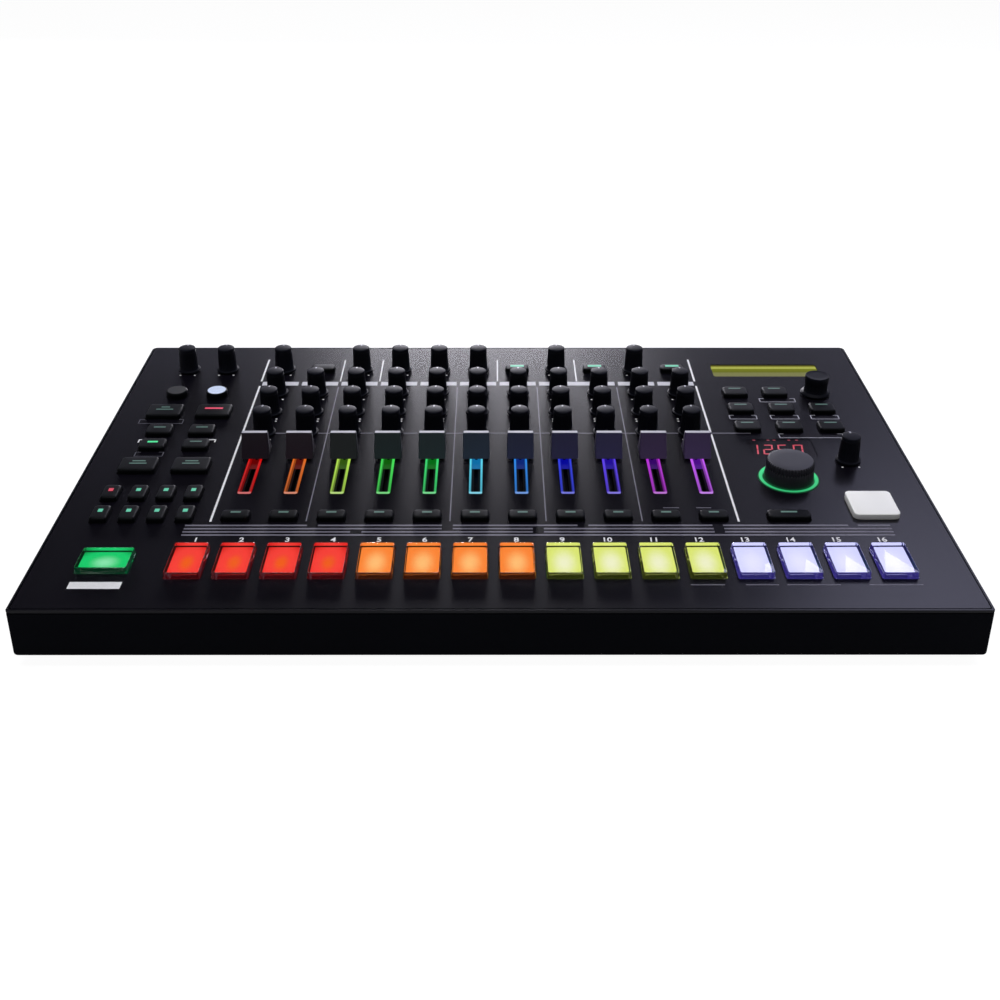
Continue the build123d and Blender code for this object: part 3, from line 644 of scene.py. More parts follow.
@dataclass(frozen=True)
class Metal(Finish):
    """Plated or brushed metal with fine streaks along the case's width."""

    colour: Colour
    roughness: float
    streak: float = 0.3
    stretch: float = 0.08
    dull: float = 0.7
    spread: float = 0.2
    depth: float = 0.01

    def sockets(self, graph: Graph) -> Mapping[str, Any]:
        """Streaks are noise squeezed across one axis.

        Args:
            graph: node tree of the material.

        Returns:
            Values and signals for the shader, by socket name.
        """
        place = graph.node("ShaderNodeMapping", {}, {
            "Vector": graph.coordinates(), "Scale": (self.stretch, 1.0, 1.0)})
        streak = graph.noise(place, self.streak)
        return {"Base Color": graph.mix(streak, self.colour, dimmed(self.colour, self.dull)),
                "Metallic": 1.0, "Roughness": self.roughness + (streak - 0.5) * self.spread,
                "Normal": graph.bump(streak, self.depth)}


@dataclass(frozen=True)
class CircuitBoard(Finish):
    """Solder mask over a lattice of copper tracks."""

    mask: Colour = tone(12, 60, 34)
    track: Colour = tone(26, 92, 52)
    lattice: float = 0.00254
    width: float = 0.0006
    patch: float = 12.0
    breaks: Pair = (0.52, 0.45)
    gloss: Pair = (0.35, 0.15)
    specular: float = 0.4
    depth: float = 0.03

    def sockets(self, graph: Graph) -> Mapping[str, Any]:
        """Tracks are bands of a lattice, broken up by noise.

        Args:
            graph: node tree of the material.

        Returns:
            Values and signals for the shader, by socket name.
        """
        place = graph.coordinates()
        band = (graph.axis(place, "X") % self.lattice) < self.width
        cross = (graph.axis(place, "Y") % self.lattice) < self.width
        area = graph.noise(place, self.patch, detail=1.0)
        track = band * (area > self.breaks[0]) + cross * (area < self.breaks[1])
        return {"Base Color": graph.mix(track, self.mask, self.track),
                "Roughness": self.gloss[0] + area * self.gloss[1],
                "Specular IOR Level": self.specular, "Normal": graph.bump(track, self.depth)}


@dataclass(frozen=True)
class ClearAcrylic(Finish):
    """Clear moulded cap with a faint tint and a little light scattered inside it."""

    tint: Colour
    glow: Colour
    haze: float = 4.0
    index: float = 1.49
    specular: float = 0.012
    gloss: Pair = (0.02, 0.03)
    thin: float = 0.97
    weak: float = 0.8

    def sockets(self, graph: Graph) -> Mapping[str, Any]:
        """Transmission with a slight change in gloss.

        Args:
            graph: node tree of the material.

        Returns:
            Values and signals for the shader, by socket name.
        """
        haze = graph.noise(graph.coordinates(), self.haze)
        return {"Base Color": graph.mix(haze, self.tint, dimmed(self.tint, self.thin)),
                "Roughness": self.gloss[0] + haze * self.gloss[1], "IOR": self.index,
                "Transmission Weight": 1.0, "Specular IOR Level": self.specular,
                "Emission Color": graph.mix(haze, self.glow, dimmed(self.glow, self.weak)),
                "Emission Strength": 1.0}


@dataclass(frozen=True)
class PadLight(Finish):
    """Lit diffuser under a clear cap, with a hot spot a little in front of its middle."""

    edge: Colour
    body: Colour
    core: Colour
    spot: float
    strength: float
    middle: Pair = (0.5, 0.47)
    squeeze: float = 1.15
    core_start: float = 0.02
    edge_reach: Pair = (1.2, 0.85)
    grain: float = 0.6
    grain_share: float = 0.12
    base: Colour = (0.03, 0.03, 0.03, 1.0)
    gloss: Pair = (0.6, 0.1)
    specular: float = 0.1

    def sockets(self, graph: Graph) -> Mapping[str, Any]:
        """Distance from the hot spot, in the piece's own UV, mixes core, body and edge.

        Args:
            graph: node tree of the material.

        Returns:
            Values and signals for the shader, by socket name.
        """
        uv = graph.coordinates("UV")
        across = (graph.axis(uv, "X") - self.middle[0]) * self.squeeze
        reach = across.reach(graph.axis(uv, "Y") - self.middle[1])
        inner = graph.mix(reach.ease(self.core_start, self.spot), self.core, self.body)
        grain = graph.noise(graph.coordinates(), self.grain)
        rim = reach.ease(self.spot * self.edge_reach[0], self.edge_reach[1])
        glow = graph.mix(rim, inner, self.edge)
        return {"Base Color": self.base, "Roughness": self.gloss[0] + grain * self.gloss[1],
                "Specular IOR Level": self.specular, "Emission Strength": self.strength,
                "Emission Color": graph.mix(grain * self.grain_share, glow, self.edge)}


@dataclass(frozen=True)
class GuideLight(Finish):
    """Light guides with a colour for each channel, stronger at the rear, the last one a ring.

    Each frame is brightest on its wall, outside the two inner distances, and paler on its front
    bar. Every place and distance is in metres in the row frame.
    """

    colours: tuple[Colour, ...]
    dim: float
    bar: Pair = (-0.0374, -0.0361)
    bar_share: float = 0.18
    inner: Pair = (0.00215, 0.00255)
    fall: Pair = (-0.045, 0.005)
    floor: float = 0.4
    ring_place: Pair = (0.1409, -0.02263)
    ring_inner: Pair = (0.0124, 0.0128)
    ring_outer: Pair = (0.0141, 0.0144)
    ring_floor: float = 0.1
    bar_level: float = 0.25
    haze: float = 2.0
    haze_level: Pair = (0.92, 0.16)
    base: Colour = (0.015, 0.015, 0.015, 1.0)
    gloss: Pair = (0.4, 0.1)
    specular: float = 0.08

    def sockets(self, graph: Graph) -> Mapping[str, Any]:
        """A stepped ramp over the width holds the colours; the shape and the depth dim them.

        Args:
            graph: node tree of the material.

        Returns:
            Values and signals for the shader, by socket name.
        """
        place, count, pitch = graph.coordinates(), len(self.colours), PLAN.pitch / MM_PER_M
        start = PLAN.field_left / MM_PER_M
        width, depth = graph.axis(place, "X"), graph.axis(place, "Y")
        share = (width - start) / (count * pitch)
        stops = [(index / count, colour) for index, colour in enumerate(self.colours)]
        last = 1 - 1 / count
        ends = (depth > self.bar[0]) * (depth < self.bar[1]) * (share < last)
        hue = graph.mix(ends * self.bar_share, graph.ramp(share, "CONSTANT", stops), WHITE)
        light = self.dim + depth.ease(*self.fall) * (1 - self.dim)
        haze = graph.noise(place, self.haze, detail=1.0)
        cell = ((width - start) % pitch) - pitch / 2
        side = (cell * cell) ** 0.5
        wall = self.floor + side.ease(*self.inner) * (1 - self.floor)
        reach = (width - self.ring_place[0]).reach(depth - self.ring_place[1])
        band = reach.ease(*self.ring_inner) * (1 - reach.ease(*self.ring_outer))
        is_ring = share > last
        ring = self.ring_floor + band * (1 - self.ring_floor)
        shape = is_ring * ring + (1 - is_ring) * (wall + ends * (1 - wall))
        veil = self.haze_level[0] + haze * self.haze_level[1]
        level = light * shape * veil + ends * self.bar_level
        return {"Base Color": self.base, "Roughness": self.gloss[0] + haze * self.gloss[1],
                "Specular IOR Level": self.specular, "Emission Strength": 1.0,
                "Emission Color": graph.mix(level, BLACK, hue)}


@dataclass(frozen=True)
class Lamp(Finish):
    """Small lit mark: a bar, a disc or a digit segment."""

    colour: Colour
    strength: float = 1.0
    grain: float = 1.2
    weak: float = 0.7
    base: Colour = (0.03, 0.03, 0.03, 1.0)
    gloss: Pair = (0.5, 0.1)

    def sockets(self, graph: Graph) -> Mapping[str, Any]:
        """Glow with a fine unevenness.

        Args:
            graph: node tree of the material.

        Returns:
            Values and signals for the shader, by socket name.
        """
        spread = graph.noise(graph.coordinates(), self.grain, detail=1.0)
        return {"Base Color": self.base, "Roughness": self.gloss[0] + spread * self.gloss[1],
                "Emission Color": graph.mix(spread, self.colour, dimmed(self.colour, self.weak)),
                "Emission Strength": self.strength}


@dataclass(frozen=True)
class Backlight(Finish):
    """Yellow-green character display, brightest in a band near its rear edge."""

    front: float = 0.0922
    rear: float = 0.1076
    cell: Pair = (0.0035, 0.0072)
    gap: Pair = (0.0004, 0.0005)
    strength: float = 0.72
    base: Colour = tone(60, 64, 20)
    dark: Colour = tone(70, 76, 24)
    dark_share: float = 0.1
    gloss: Pair = (0.16, 0.02)
    specular: float = 0.1
    stops: tuple[tuple[float, Colour], ...] = (
        (0.0, tone(132, 129, 94)), (0.3, tone(132, 132, 87)), (0.4, tone(105, 111, 30)),
        (0.64, tone(124, 129, 25)), (0.72, tone(202, 208, 105)), (0.84, tone(177, 177, 73)),
        (0.9, tone(73, 65, 17)), (1.0, tone(57, 52, 18)))

    def sockets(self, graph: Graph) -> Mapping[str, Any]:
        """A ramp over the depth, with faint character cells cut by remainders.

        Args:
            graph: node tree of the material.

        Returns:
            Values and signals for the shader, by socket name.
        """
        place = graph.coordinates()
        share = (graph.axis(place, "Y") - self.front) / (self.rear - self.front)
        glow = graph.ramp(share, "EASE", self.stops)
        cell = (((graph.axis(place, "X") % self.cell[0]) < self.gap[0])
                + ((graph.axis(place, "Y") % self.cell[1]) < self.gap[1]))
        shown = graph.mix(cell.ease(0.0, 1.0) * self.dark_share, glow, self.dark)
        return {"Base Color": self.base, "Roughness": self.gloss[0] + cell * self.gloss[1],
                "Specular IOR Level": self.specular, "Emission Color": shown,
                "Emission Strength": self.strength}


@dataclass(frozen=True)
class PlatedSockets(Finish):
    """Black moulded sockets with plated parts. Each kind says where the plating is."""

    black: Colour
    plate: Colour
    roughness: Pair
    grain: float
    spread: float = 0.12
    depth: float = 0.012

    def plated(self, graph: Graph, place: Signal) -> Signal:
        """1 on the plating, else 0."""
        raise NotImplementedError

    def sockets(self, graph: Graph) -> Mapping[str, Any]:
        """Plating changes colour, gloss and metal.

        Args:
            graph: node tree of the material.

        Returns:
            Values and signals for the shader, by socket name.
        """
        place = graph.coordinates()
        plated = self.plated(graph, place)
        grain = graph.noise(place, self.grain)
        gloss = self.roughness[0] - plated * self.roughness[1] + (grain - 0.5) * self.spread
        return {"Base Color": graph.mix(plated, self.black, self.plate), "Metallic": plated,
                "Roughness": gloss, "Normal": graph.bump(grain, self.depth)}


@dataclass(frozen=True)
class JackFinish(PlatedSockets):
    """Black bushes inside plated nuts, and black bodies behind the rear panel, in metres."""

    wall: float = 0.1292
    axis_height: float = 0.0231
    first: float = 0.0220
    pitch: float = 0.0185
    bush: float = 0.00552

    def plated(self, graph: Graph, place: Signal) -> Signal:
        """Plating shows outside the wall and away from a jack's own axis.

        Args:
            graph: node tree of the material.
            place: place in the row frame.

        Returns:
            1 on the plating, else 0.
        """
        across = graph.axis(place, "X") - self.first + self.pitch / 2
        offset = (across % self.pitch) - self.pitch / 2
        reach = offset.reach(graph.axis(place, "Z") - self.axis_height)
        return (graph.axis(place, "Y") > self.wall) * (reach > self.bush)


@dataclass(frozen=True)
class ShellFinish(PlatedSockets):
    """Black sockets, with plated shells on the computer and card sockets, in metres."""

    shells: tuple[Pair, ...] = ((0.130, 0.144), (0.093, 0.123))

    def plated(self, graph: Graph, place: Signal) -> Signal:
        """Plating shows between the ends of each shell.

        Args:
            graph: node tree of the material.
            place: place in the row frame.

        Returns:
            1 on the plating, else 0.
        """
        across = graph.axis(place, "X")
        first, second = [(across > left) * (across < right) for left, right in self.shells]
        return first + second


# Moulded: name, colour, shade, roughness, its spread, specular, grain and bump depth in mm.
CASE_PLASTIC = Moulded("case_plastic", tone(3, 4, 10), tone(2, 3, 7), 0.5, 0.08, 0.03, 0.5, 0.02)
PANEL_PAINT = Moulded("panel_paint", tone(11, 9, 18), tone(8, 7, 13), 0.27, 0.0, 0.2, 0.4, 0.0)
FRAME_PLASTIC = Moulded("frame_plastic", tone(12, 11, 18), tone(9, 9, 15),
                        0.3, 0.06, 0.18, 0.4, 0.004)
REAR_PLATE = Moulded("rear_plate", tone(26, 26, 30), tone(20, 20, 24), 0.45, 0.06, 0.2, 0.4, 0.006)
FOOT_RUBBER = Moulded("foot_rubber", tone(26, 26, 28), tone(19, 19, 21),
                      0.75, 0.06, 0.15, 0.7, 0.03)
KNOB_RUBBER = Moulded("knob_rubber", tone(20, 21, 30), tone(14, 15, 22),
                      0.5, 0.06, 0.05, 0.22, 0.006)
BROAD_RUBBER = Moulded("broad_knob_rubber", tone(32, 32, 42), tone(25, 25, 33),
                       0.5, 0.06, 0.32, 0.22, 0.01)
KEY_RUBBER = Moulded("key_rubber", tone(5, 6, 9), tone(3, 5, 8), 0.5, 0.06, 0.07, 0.25, 0.006)
SILICONE = Moulded("strike_silicone", tone(250, 250, 248), tone(246, 246, 245),
                   0.5, 0.05, 0.3, 0.4, 0.01)
SMOKED = Moulded("tempo_glass", tone(17, 11, 18), tone(12, 9, 14), 0.26, 0.02, 0.2, 0.6, 0.001)
BUTTON_PLASTIC = Moulded("button_plastic", tone(34, 34, 37), tone(27, 27, 30), 0.4, 0.05, 0.3)
SCREW_STEEL = Metal("screw_steel", tone(120, 120, 124), 0.35)
POT_METAL = Metal("pot_metal", tone(40, 40, 44), 0.5)
WHITE_INK = Printed("white_ink", tone(248, 248, 250))
LABEL_INK = Printed("label_ink", tone(206, 206, 214))
GREY_INK = Printed("grey_ink", tone(118, 116, 130))
BRACKET_INK = Printed("bracket_ink", tone(176, 176, 188))
FAINT_INK = Printed("faint_ink", tone(84, 84, 94))
POINTER_INK = Printed("pointer_ink", tone(168, 168, 178))
# Pale line over the fader caps' ridges and ends: partly print, partly a painted highlight
RIDGE_INK_AND_HIGHLIGHT = Printed("fader_ridge_ink_and_highlight", tone(190, 190, 200))
JACKS = JackFinish("jack_finish", tone(24, 24, 26), tone(196, 196, 200), (0.42, 0.14), 0.4)
SHELLS = ShellFinish("socket_plastic", tone(26, 26, 28), tone(170, 170, 174), (0.45, 0.12), 0.5)

CHANNEL_COLOURS: tuple[Colour, ...] = (
    tone(214, 12, 10), tone(226, 108, 34), tone(184, 232, 84), tone(70, 226, 90),
    tone(60, 226, 118), tone(96, 222, 250), tone(44, 140, 240), tone(50, 64, 234),
    tone(94, 66, 240), tone(190, 52, 220), tone(200, 92, 250), tone(64, 240, 150),
)
SLOT_COLOURS: tuple[Colour, ...] = (
    tone(98, 4, 4), tone(86, 16, 12), tone(48, 84, 16), tone(16, 90, 12), tone(6, 104, 22),
    tone(14, 108, 164), tone(14, 38, 116), tone(8, 10, 150), tone(34, 14, 148),
    tone(52, 8, 100), tone(74, 12, 134), tone(0, 0, 0),
)
GUIDE_LIGHT = GuideLight("light_guide", CHANNEL_COLOURS, 0.5)
SLOT_LIGHT = GuideLight("fader_slot_light", SLOT_COLOURS, 0.8, bar=(1.0, 1.1), bar_share=0.0,
                        inner=(-0.002, -0.001))


def pad_hue(name: str, edge: Colour, body: Colour, core: Colour, spot: float, strength: float,
            tint: Vector, glow: Colour) -> tuple[str, PadLight, ClearAcrylic]:
    """Name and finishes of one colour of pad.

    Args:
        name: the colour's name.
        edge, body, core: colours of the diffuser from its rim to its hot spot.
        spot: reach of the hot spot, as a share of the pad.
        strength: strength of its light.
        tint: tint of the clear cap.
        glow: light scattered inside the cap.

    Returns:
        A name for the colour, the diffuser's finish and the cap's finish.
    """
    slot = "pad_" + name
    return (slot, PadLight(slot + "_light", edge, body, core, spot, strength),
            ClearAcrylic(slot + "_acrylic", (*tint, 1.0), glow))


class PadHue(Enum):
    """Light of a pad: a name for it, its diffuser finish and its clear cap's finish."""

    RED = pad_hue("red", tone(206, 18, 14), tone(246, 68, 58), tone(240, 104, 14), 0.36, 1.15,
                  (1.0, 0.9, 0.9), tone(26, 1, 2))
    ORANGE = pad_hue("orange", tone(226, 88, 20), tone(252, 140, 58), tone(255, 200, 126),
                     0.55, 1.15, (1.0, 0.93, 0.88), tone(24, 5, 1))
    YELLOW = pad_hue("yellow", tone(186, 202, 70), tone(224, 234, 124), tone(246, 246, 220),
                     0.6, 1.15, (0.97, 0.98, 0.88), tone(16, 18, 2))
    WHITE = pad_hue("white", tone(176, 176, 250), tone(216, 218, 255), tone(234, 234, 255),
                    0.6, 1.25, (0.93, 0.93, 1.0), tone(18, 14, 52))
    GREEN = pad_hue("green", tone(0, 128, 56), tone(24, 206, 112), tone(150, 238, 186),
                    0.42, 1.15, (0.88, 0.97, 0.92), tone(0, 18, 7))

    @classmethod
    def of_step(cls, index: int) -> "PadHue":
        """Hue of a step pad, in groups of four."""
        return (cls.RED, cls.ORANGE, cls.YELLOW, cls.WHITE)[index // 4]


def fader_plastic(channel: int) -> Moulded:
    """Plastic of a fader cap: dark, with painted light in its colour: a little of the light that
    its channel spills on it, and a lighter tone the further right its channel is.

    Args:
        channel: number of the channel, from 0.

    Returns:
        The finish.
    """
    # painted light: each cap takes a share of its channel's light colour and is painted lighter
    # with each channel towards the right
    painted_spill_share, painted_light_first, painted_light_step, contrast = 0.008, 0.9, 0.42, 0.1
    base = np.array(CHANNEL_COLOURS[channel][:3]) * painted_spill_share + np.array(tone(22, 21, 32)[:3])
    base = base * (painted_light_first + painted_light_step * channel)
    colour, shade = dimmed((*base, 1.0), 1 + contrast), dimmed((*base, 1.0), 1 - contrast)
    return Moulded(f"fader_plastic_{channel + 1:02d}", colour, shade, 0.42, 0.05, 0.22, 0.3, 0.005)


# ---------------------------------------------------------------- sub-assemblies


def dress(node: bpy.types.Object, finish: Finish) -> None:
    """Gives an object its one finish."""
    node.data.materials.clear()
    node.data.materials.append(finish.material())


def carry(piece: bpy.types.Object, body: str, finish: Finish,
          instead_of: Sequence[str] = ()) -> None:
    """Finishes a piece and lets it ride.

    Args:
        piece: the piece.
        body: CAD body that it moves with.
        finish: its finish.
        instead_of: CAD nodes that it stands for.
    """
    dress(piece, finish)
    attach(piece, body)
    if instead_of:
        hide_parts(*instead_of)
    log.info("%s: %d faces on %s", piece.name, len(piece.data.polygons), body)


def add(shape: Shape, name: str, body: str, finish: Finish,
        instead_of: Sequence[str] = ()) -> None:
    """Builds a piece of a shape and a name, and carries it as carry does."""
    carry(shape.build(name), body, finish, instead_of)


@dataclass
class CaseFinishes:
    """CAD nodes that keep their own shape and only take a finish."""

    nodes: Mapping[str, bpy.types.Object]

    def dress(self) -> None:
        """Assigns a finish to every node that stays."""
        chosen = {
            "bottom_case": CASE_PLASTIC, "upper_frame": FRAME_PLASTIC, "top_panel": PANEL_PAINT,
            "rear_panel": REAR_PLATE, "rubber_feet": FOOT_RUBBER, "screws": SCREW_STEEL,
            "control_board": CircuitBoard("board_green"),
            "main_board": CircuitBoard("board_green"), "potentiometers": POT_METAL,
            "light_guides": GUIDE_LIGHT, "tempo_display": SMOKED,
            "display_module": Backlight("display_glass"), "strike_pad": SILICONE,
            "audio_jacks": JACKS, "data_sockets": SHELLS, "power_button": BUTTON_PLASTIC,
        }
        for name, node in self.nodes.items():
            finish = chosen.get(name, KNOB_RUBBER)
            dress(node, finish)
            log.info("%s: finish %s", name, finish.name)


@dataclass
class PanelPrint:
    """Printed lines, label bars, scale dots and numbers on the top panel."""

    low: float = 0.0
    high: float = 0.03
    line: float = 0.25
    number_height: float = 3.5
    number_row: float = 53.8
    dot: float = 1.1
    section_columns: Pair = (-133.2, 110.0)
    section_rows: tuple[Pair, ...] = ((217.5, 246.5), (156.8, 211.5), (69.0, 154.4))
    section_half: float = 0.5
    dividers: tuple[float, ...] = (-88.9, -66.8, -0.7, 43.7)
    divider_rows: Pair = (217.5, 246.0)
    divider_half: float = 0.35
    thin_dividers: tuple[float, ...] = (-89.2, -23.0, 21.3, 65.6)
    thin_rows: Pair = (69.5, 210.0)
    cross_line: Area = (-133.2, 130.3, 155.2, 155.9)
    start_bar: Area = (-183.7, -161.3, 15.5, 20.6)
    corner_lines: tuple[Area, ...] = (
        (-185.3, -184.6, 145.5, 148.6), (-185.3, -181.8, 148.1, 148.9),
        (-149.5, -145.5, 148.1, 148.9), (-146.2, -145.5, 145.8, 148.6),
        (129.8, 130.5, 155.2, 157.8))
    label_rows: Pair = (212.2, 216.8)
    label_half: float = 10.1
    stave: Pair = (-144.1, 178.8)
    stave_half: float = 0.6
    stave_gaps: tuple[tuple[float, tuple[float, ...]], ...] = (
        (65.8, (-88.3, -83.3, -26.5, -21.5, 35.5, 40.5, 97.3, 102.2, 159.5, 164.0)),
        (63.0, (-26.5, -21.5, 15.0, 20.0, 97.5, 102.3)),
        (60.3, (-68.0, -62.9, 15.0, 20.0, 97.5, 102.3)),
        (57.7, ()))
    fill_row: float = 18.35
    fill_lines: tuple[Pair, ...] = ((81.0, 95.5), (104.5, 118.5), (122.0, 145.0), (157.0, 180.0))
    pair_row: float = 81.25
    pair_lines: tuple[Pair, ...] = ((76.5, 84.0), (92.0, 99.0))
    left_brackets: tuple[Area, ...] = (
        (-190.0, -167.0, 166.5, 171.0), (-183.5, -169.5, 131.0, 135.2))
    right_brackets: tuple[Area, ...] = (
        (122.7, 137.0, 171.6, 175.8), (144.6, 159.3, 171.6, 175.8), (166.0, 180.6, 171.6, 175.8),
        (142.3, 161.5, 191.8, 195.8), (145.0, 178.0, 150.6, 154.8))

    def white_areas(self) -> list[Area]:
        """Section lines, short dividers, bracket corners and the bar by the start pad.

        Returns:
            Areas of the white print.
        """
        areas = []
        for rows in self.section_rows:
            areas += uprights(self.section_columns, self.section_half, *rows)
        areas += uprights(self.dividers, self.divider_half, *self.divider_rows)
        return areas + [self.start_bar, *self.corner_lines]

    def label_areas(self) -> list[Area]:
        """Bars over the channel columns, one of them over two columns.

        Returns:
            Areas of the bars.
        """
        half, columns, wide = self.label_half, PLAN.columns, (7, 8)
        areas = uprights(np.delete(columns, wide), half, *self.label_rows)
        return areas + [(columns[wide[0]] - half, columns[wide[1]] + half, *self.label_rows)]

    def grey_areas(self) -> list[Area]:
        """Stave lines with their gaps, thin dividers and legend lines.

        Returns:
            Areas of the grey print.
        """
        areas = []
        for row, ends in self.stave_gaps:
            edges = [self.stave[0], *ends, self.stave[1]]
            areas += levels(row, self.stave_half, zip(edges[::2], edges[1::2]))
        areas += uprights(self.thin_dividers, self.line, *self.thin_rows)
        areas.append(self.cross_line)
        areas += levels(self.fill_row, self.line, self.fill_lines)
        return areas + levels(self.pair_row, self.line, self.pair_lines)

    def bracket_areas(self, places: Sequence[Area]) -> list[Area]:
        """Outlines of the places for a key's second name: two ends and broken long sides.

        Args:
            places: (left, right, front, back) of each place.

        Returns:
            Areas of the lines.
        """
        thin, corner = 0.2, 2.5
        areas = []
        for left, right, front, back in places:
            areas += uprights((left, right), self.line, front, back)
            areas.append((left, right, front - self.line, front + thin))
            areas += levels(back, thin, ((left, left + corner), (right - corner, right)))
        return areas

    def dot_places(self) -> Array:
        """Two scale dots in front of every pointed knob, and a second pair in the middle row.

        Returns:
            (across, along) of every dot.
        """
        aside, near, near_single, far = 4.1, 6.9, 6.4, 9.4
        channel = PLAN.grid(PLAN.columns, PLAN.knob_rows)
        rows = ((channel, near), (np.array(list(PLAN.single_knobs.values())), near_single),
                (PLAN.grid(PLAN.columns, PLAN.knob_rows[1:2]), far))
        return np.concatenate([knobs + (shift, -reach) for knobs, reach in rows
                               for shift in (-aside, aside)])

    def number(self, text: str, across: float) -> bpy.types.Object:
        """One step number as a thin mesh, centred over its pad.

        Args:
            text: the number.
            across: place of the pad.

        Returns:
            The object.
        """
        size_share, weight, narrow = 1.38, 0.1, 0.98
        curve = bpy.data.curves.new("step_number", "FONT")
        curve.body, curve.align_x, curve.align_y = text, "CENTER", "CENTER"
        curve.size, curve.offset = self.number_height * size_share, weight
        curve.extrude = self.high / 2
        holder = linked("step_number", curve)
        shown = holder.evaluated_get(bpy.context.evaluated_depsgraph_get())
        mesh = bpy.data.meshes.new_from_object(shown)
        points = np.zeros(len(mesh.vertices) * 3)
        mesh.vertices.foreach_get("co", points)
        points = points.reshape(-1, 3)
        points -= (points.min(axis=0) + points.max(axis=0)) / 2
        points = points * (narrow, 1.0, 1.0) + (across, self.number_row, self.high / 2)
        mesh.vertices.foreach_set("co", PANEL.world(points).ravel())
        bpy.data.objects.remove(holder)
        return linked("step_number", mesh)

    def numbers(self) -> bpy.types.Object:
        """The step numbers, joined.

        Returns:
            One object that holds all of them.
        """
        made = [self.number(str(index), across) for index, across in enumerate(PLAN.pads, 1)]
        with bpy.context.temp_override(active_object=made[0], selected_editable_objects=made):
            bpy.ops.object.join()
        made[0].name = "panel_numbers"
        return made[0]

    def build(self) -> None:
        """Makes the pieces of print."""
        for name, ink, areas in (
            ("white_lines", WHITE_INK, self.white_areas()),
            ("label_bars", LABEL_INK, self.label_areas()),
            ("grey_lines", GREY_INK, self.grey_areas()),
            ("left_brackets", FAINT_INK, self.bracket_areas(self.left_brackets)),
            ("right_brackets", BRACKET_INK, self.bracket_areas(self.right_brackets)),
        ):
            shape = plates(areas, self.low, self.high)
            add(shape, "panel_" + name, "case", ink)
        disc = revolve([(self.dot / 2, self.low), (self.dot / 2, self.high)], segments=12)
        add(disc.placed(self.dot_places()), "panel_scale_dots", "case", WHITE_INK)
        carry(self.numbers(), "case", WHITE_INK)


@dataclass
class ClearPad:
    """A solid clear cap over a lit diffuser, with an air gap between them."""

    node: str
    across: float
    hue: PadHue
    width: float = 15.6
    length: float = 24.4
    top: float = 3.0
    foot: float = -1.95
    corner: float = 0.8
    edge: float = 0.3
    draft: float = 0.3
    waist: tuple[Pair, ...] = ((0.0, 0.1), (0.15, 0.28))
    gap: float = 0.15
    inset: float = 0.95
    diffuser: float = 0.8
    diffuser_corner: float = 0.5

    def build(self) -> None:
        """Makes the cap and the diffuser in place of the CAD pad."""
        slot, light, acrylic = self.hue.value
        place = [(self.across, PLAN.pad_row)]
        skirt = [(self.width - 2 * inset, self.length - 2 * inset, self.corner, height)
                 for inset, height in ((0.0, self.foot), *self.waist)]
        block = rounded_rings(self.width - 2 * self.draft, self.length - 2 * self.draft,
                              self.foot, self.top, self.corner, self.edge)
        cap = stacked(skirt + block[1:], steps=5).placed(place)
        add(cap, self.node + "_cap", self.node, acrylic, [self.node])
        high = self.foot - self.gap
        size = (self.width - 2 * self.inset, self.length - 2 * self.inset)
        lamp = stacked([(*size, self.diffuser_corner, high - self.diffuser),
                        (*size, self.diffuser_corner, high)], steps=4)
        lamp.uv = lamp.points[:, :2] / size + 0.5
        add(lamp.placed(place), self.node + "_diffuser", self.node, light, [self.node])


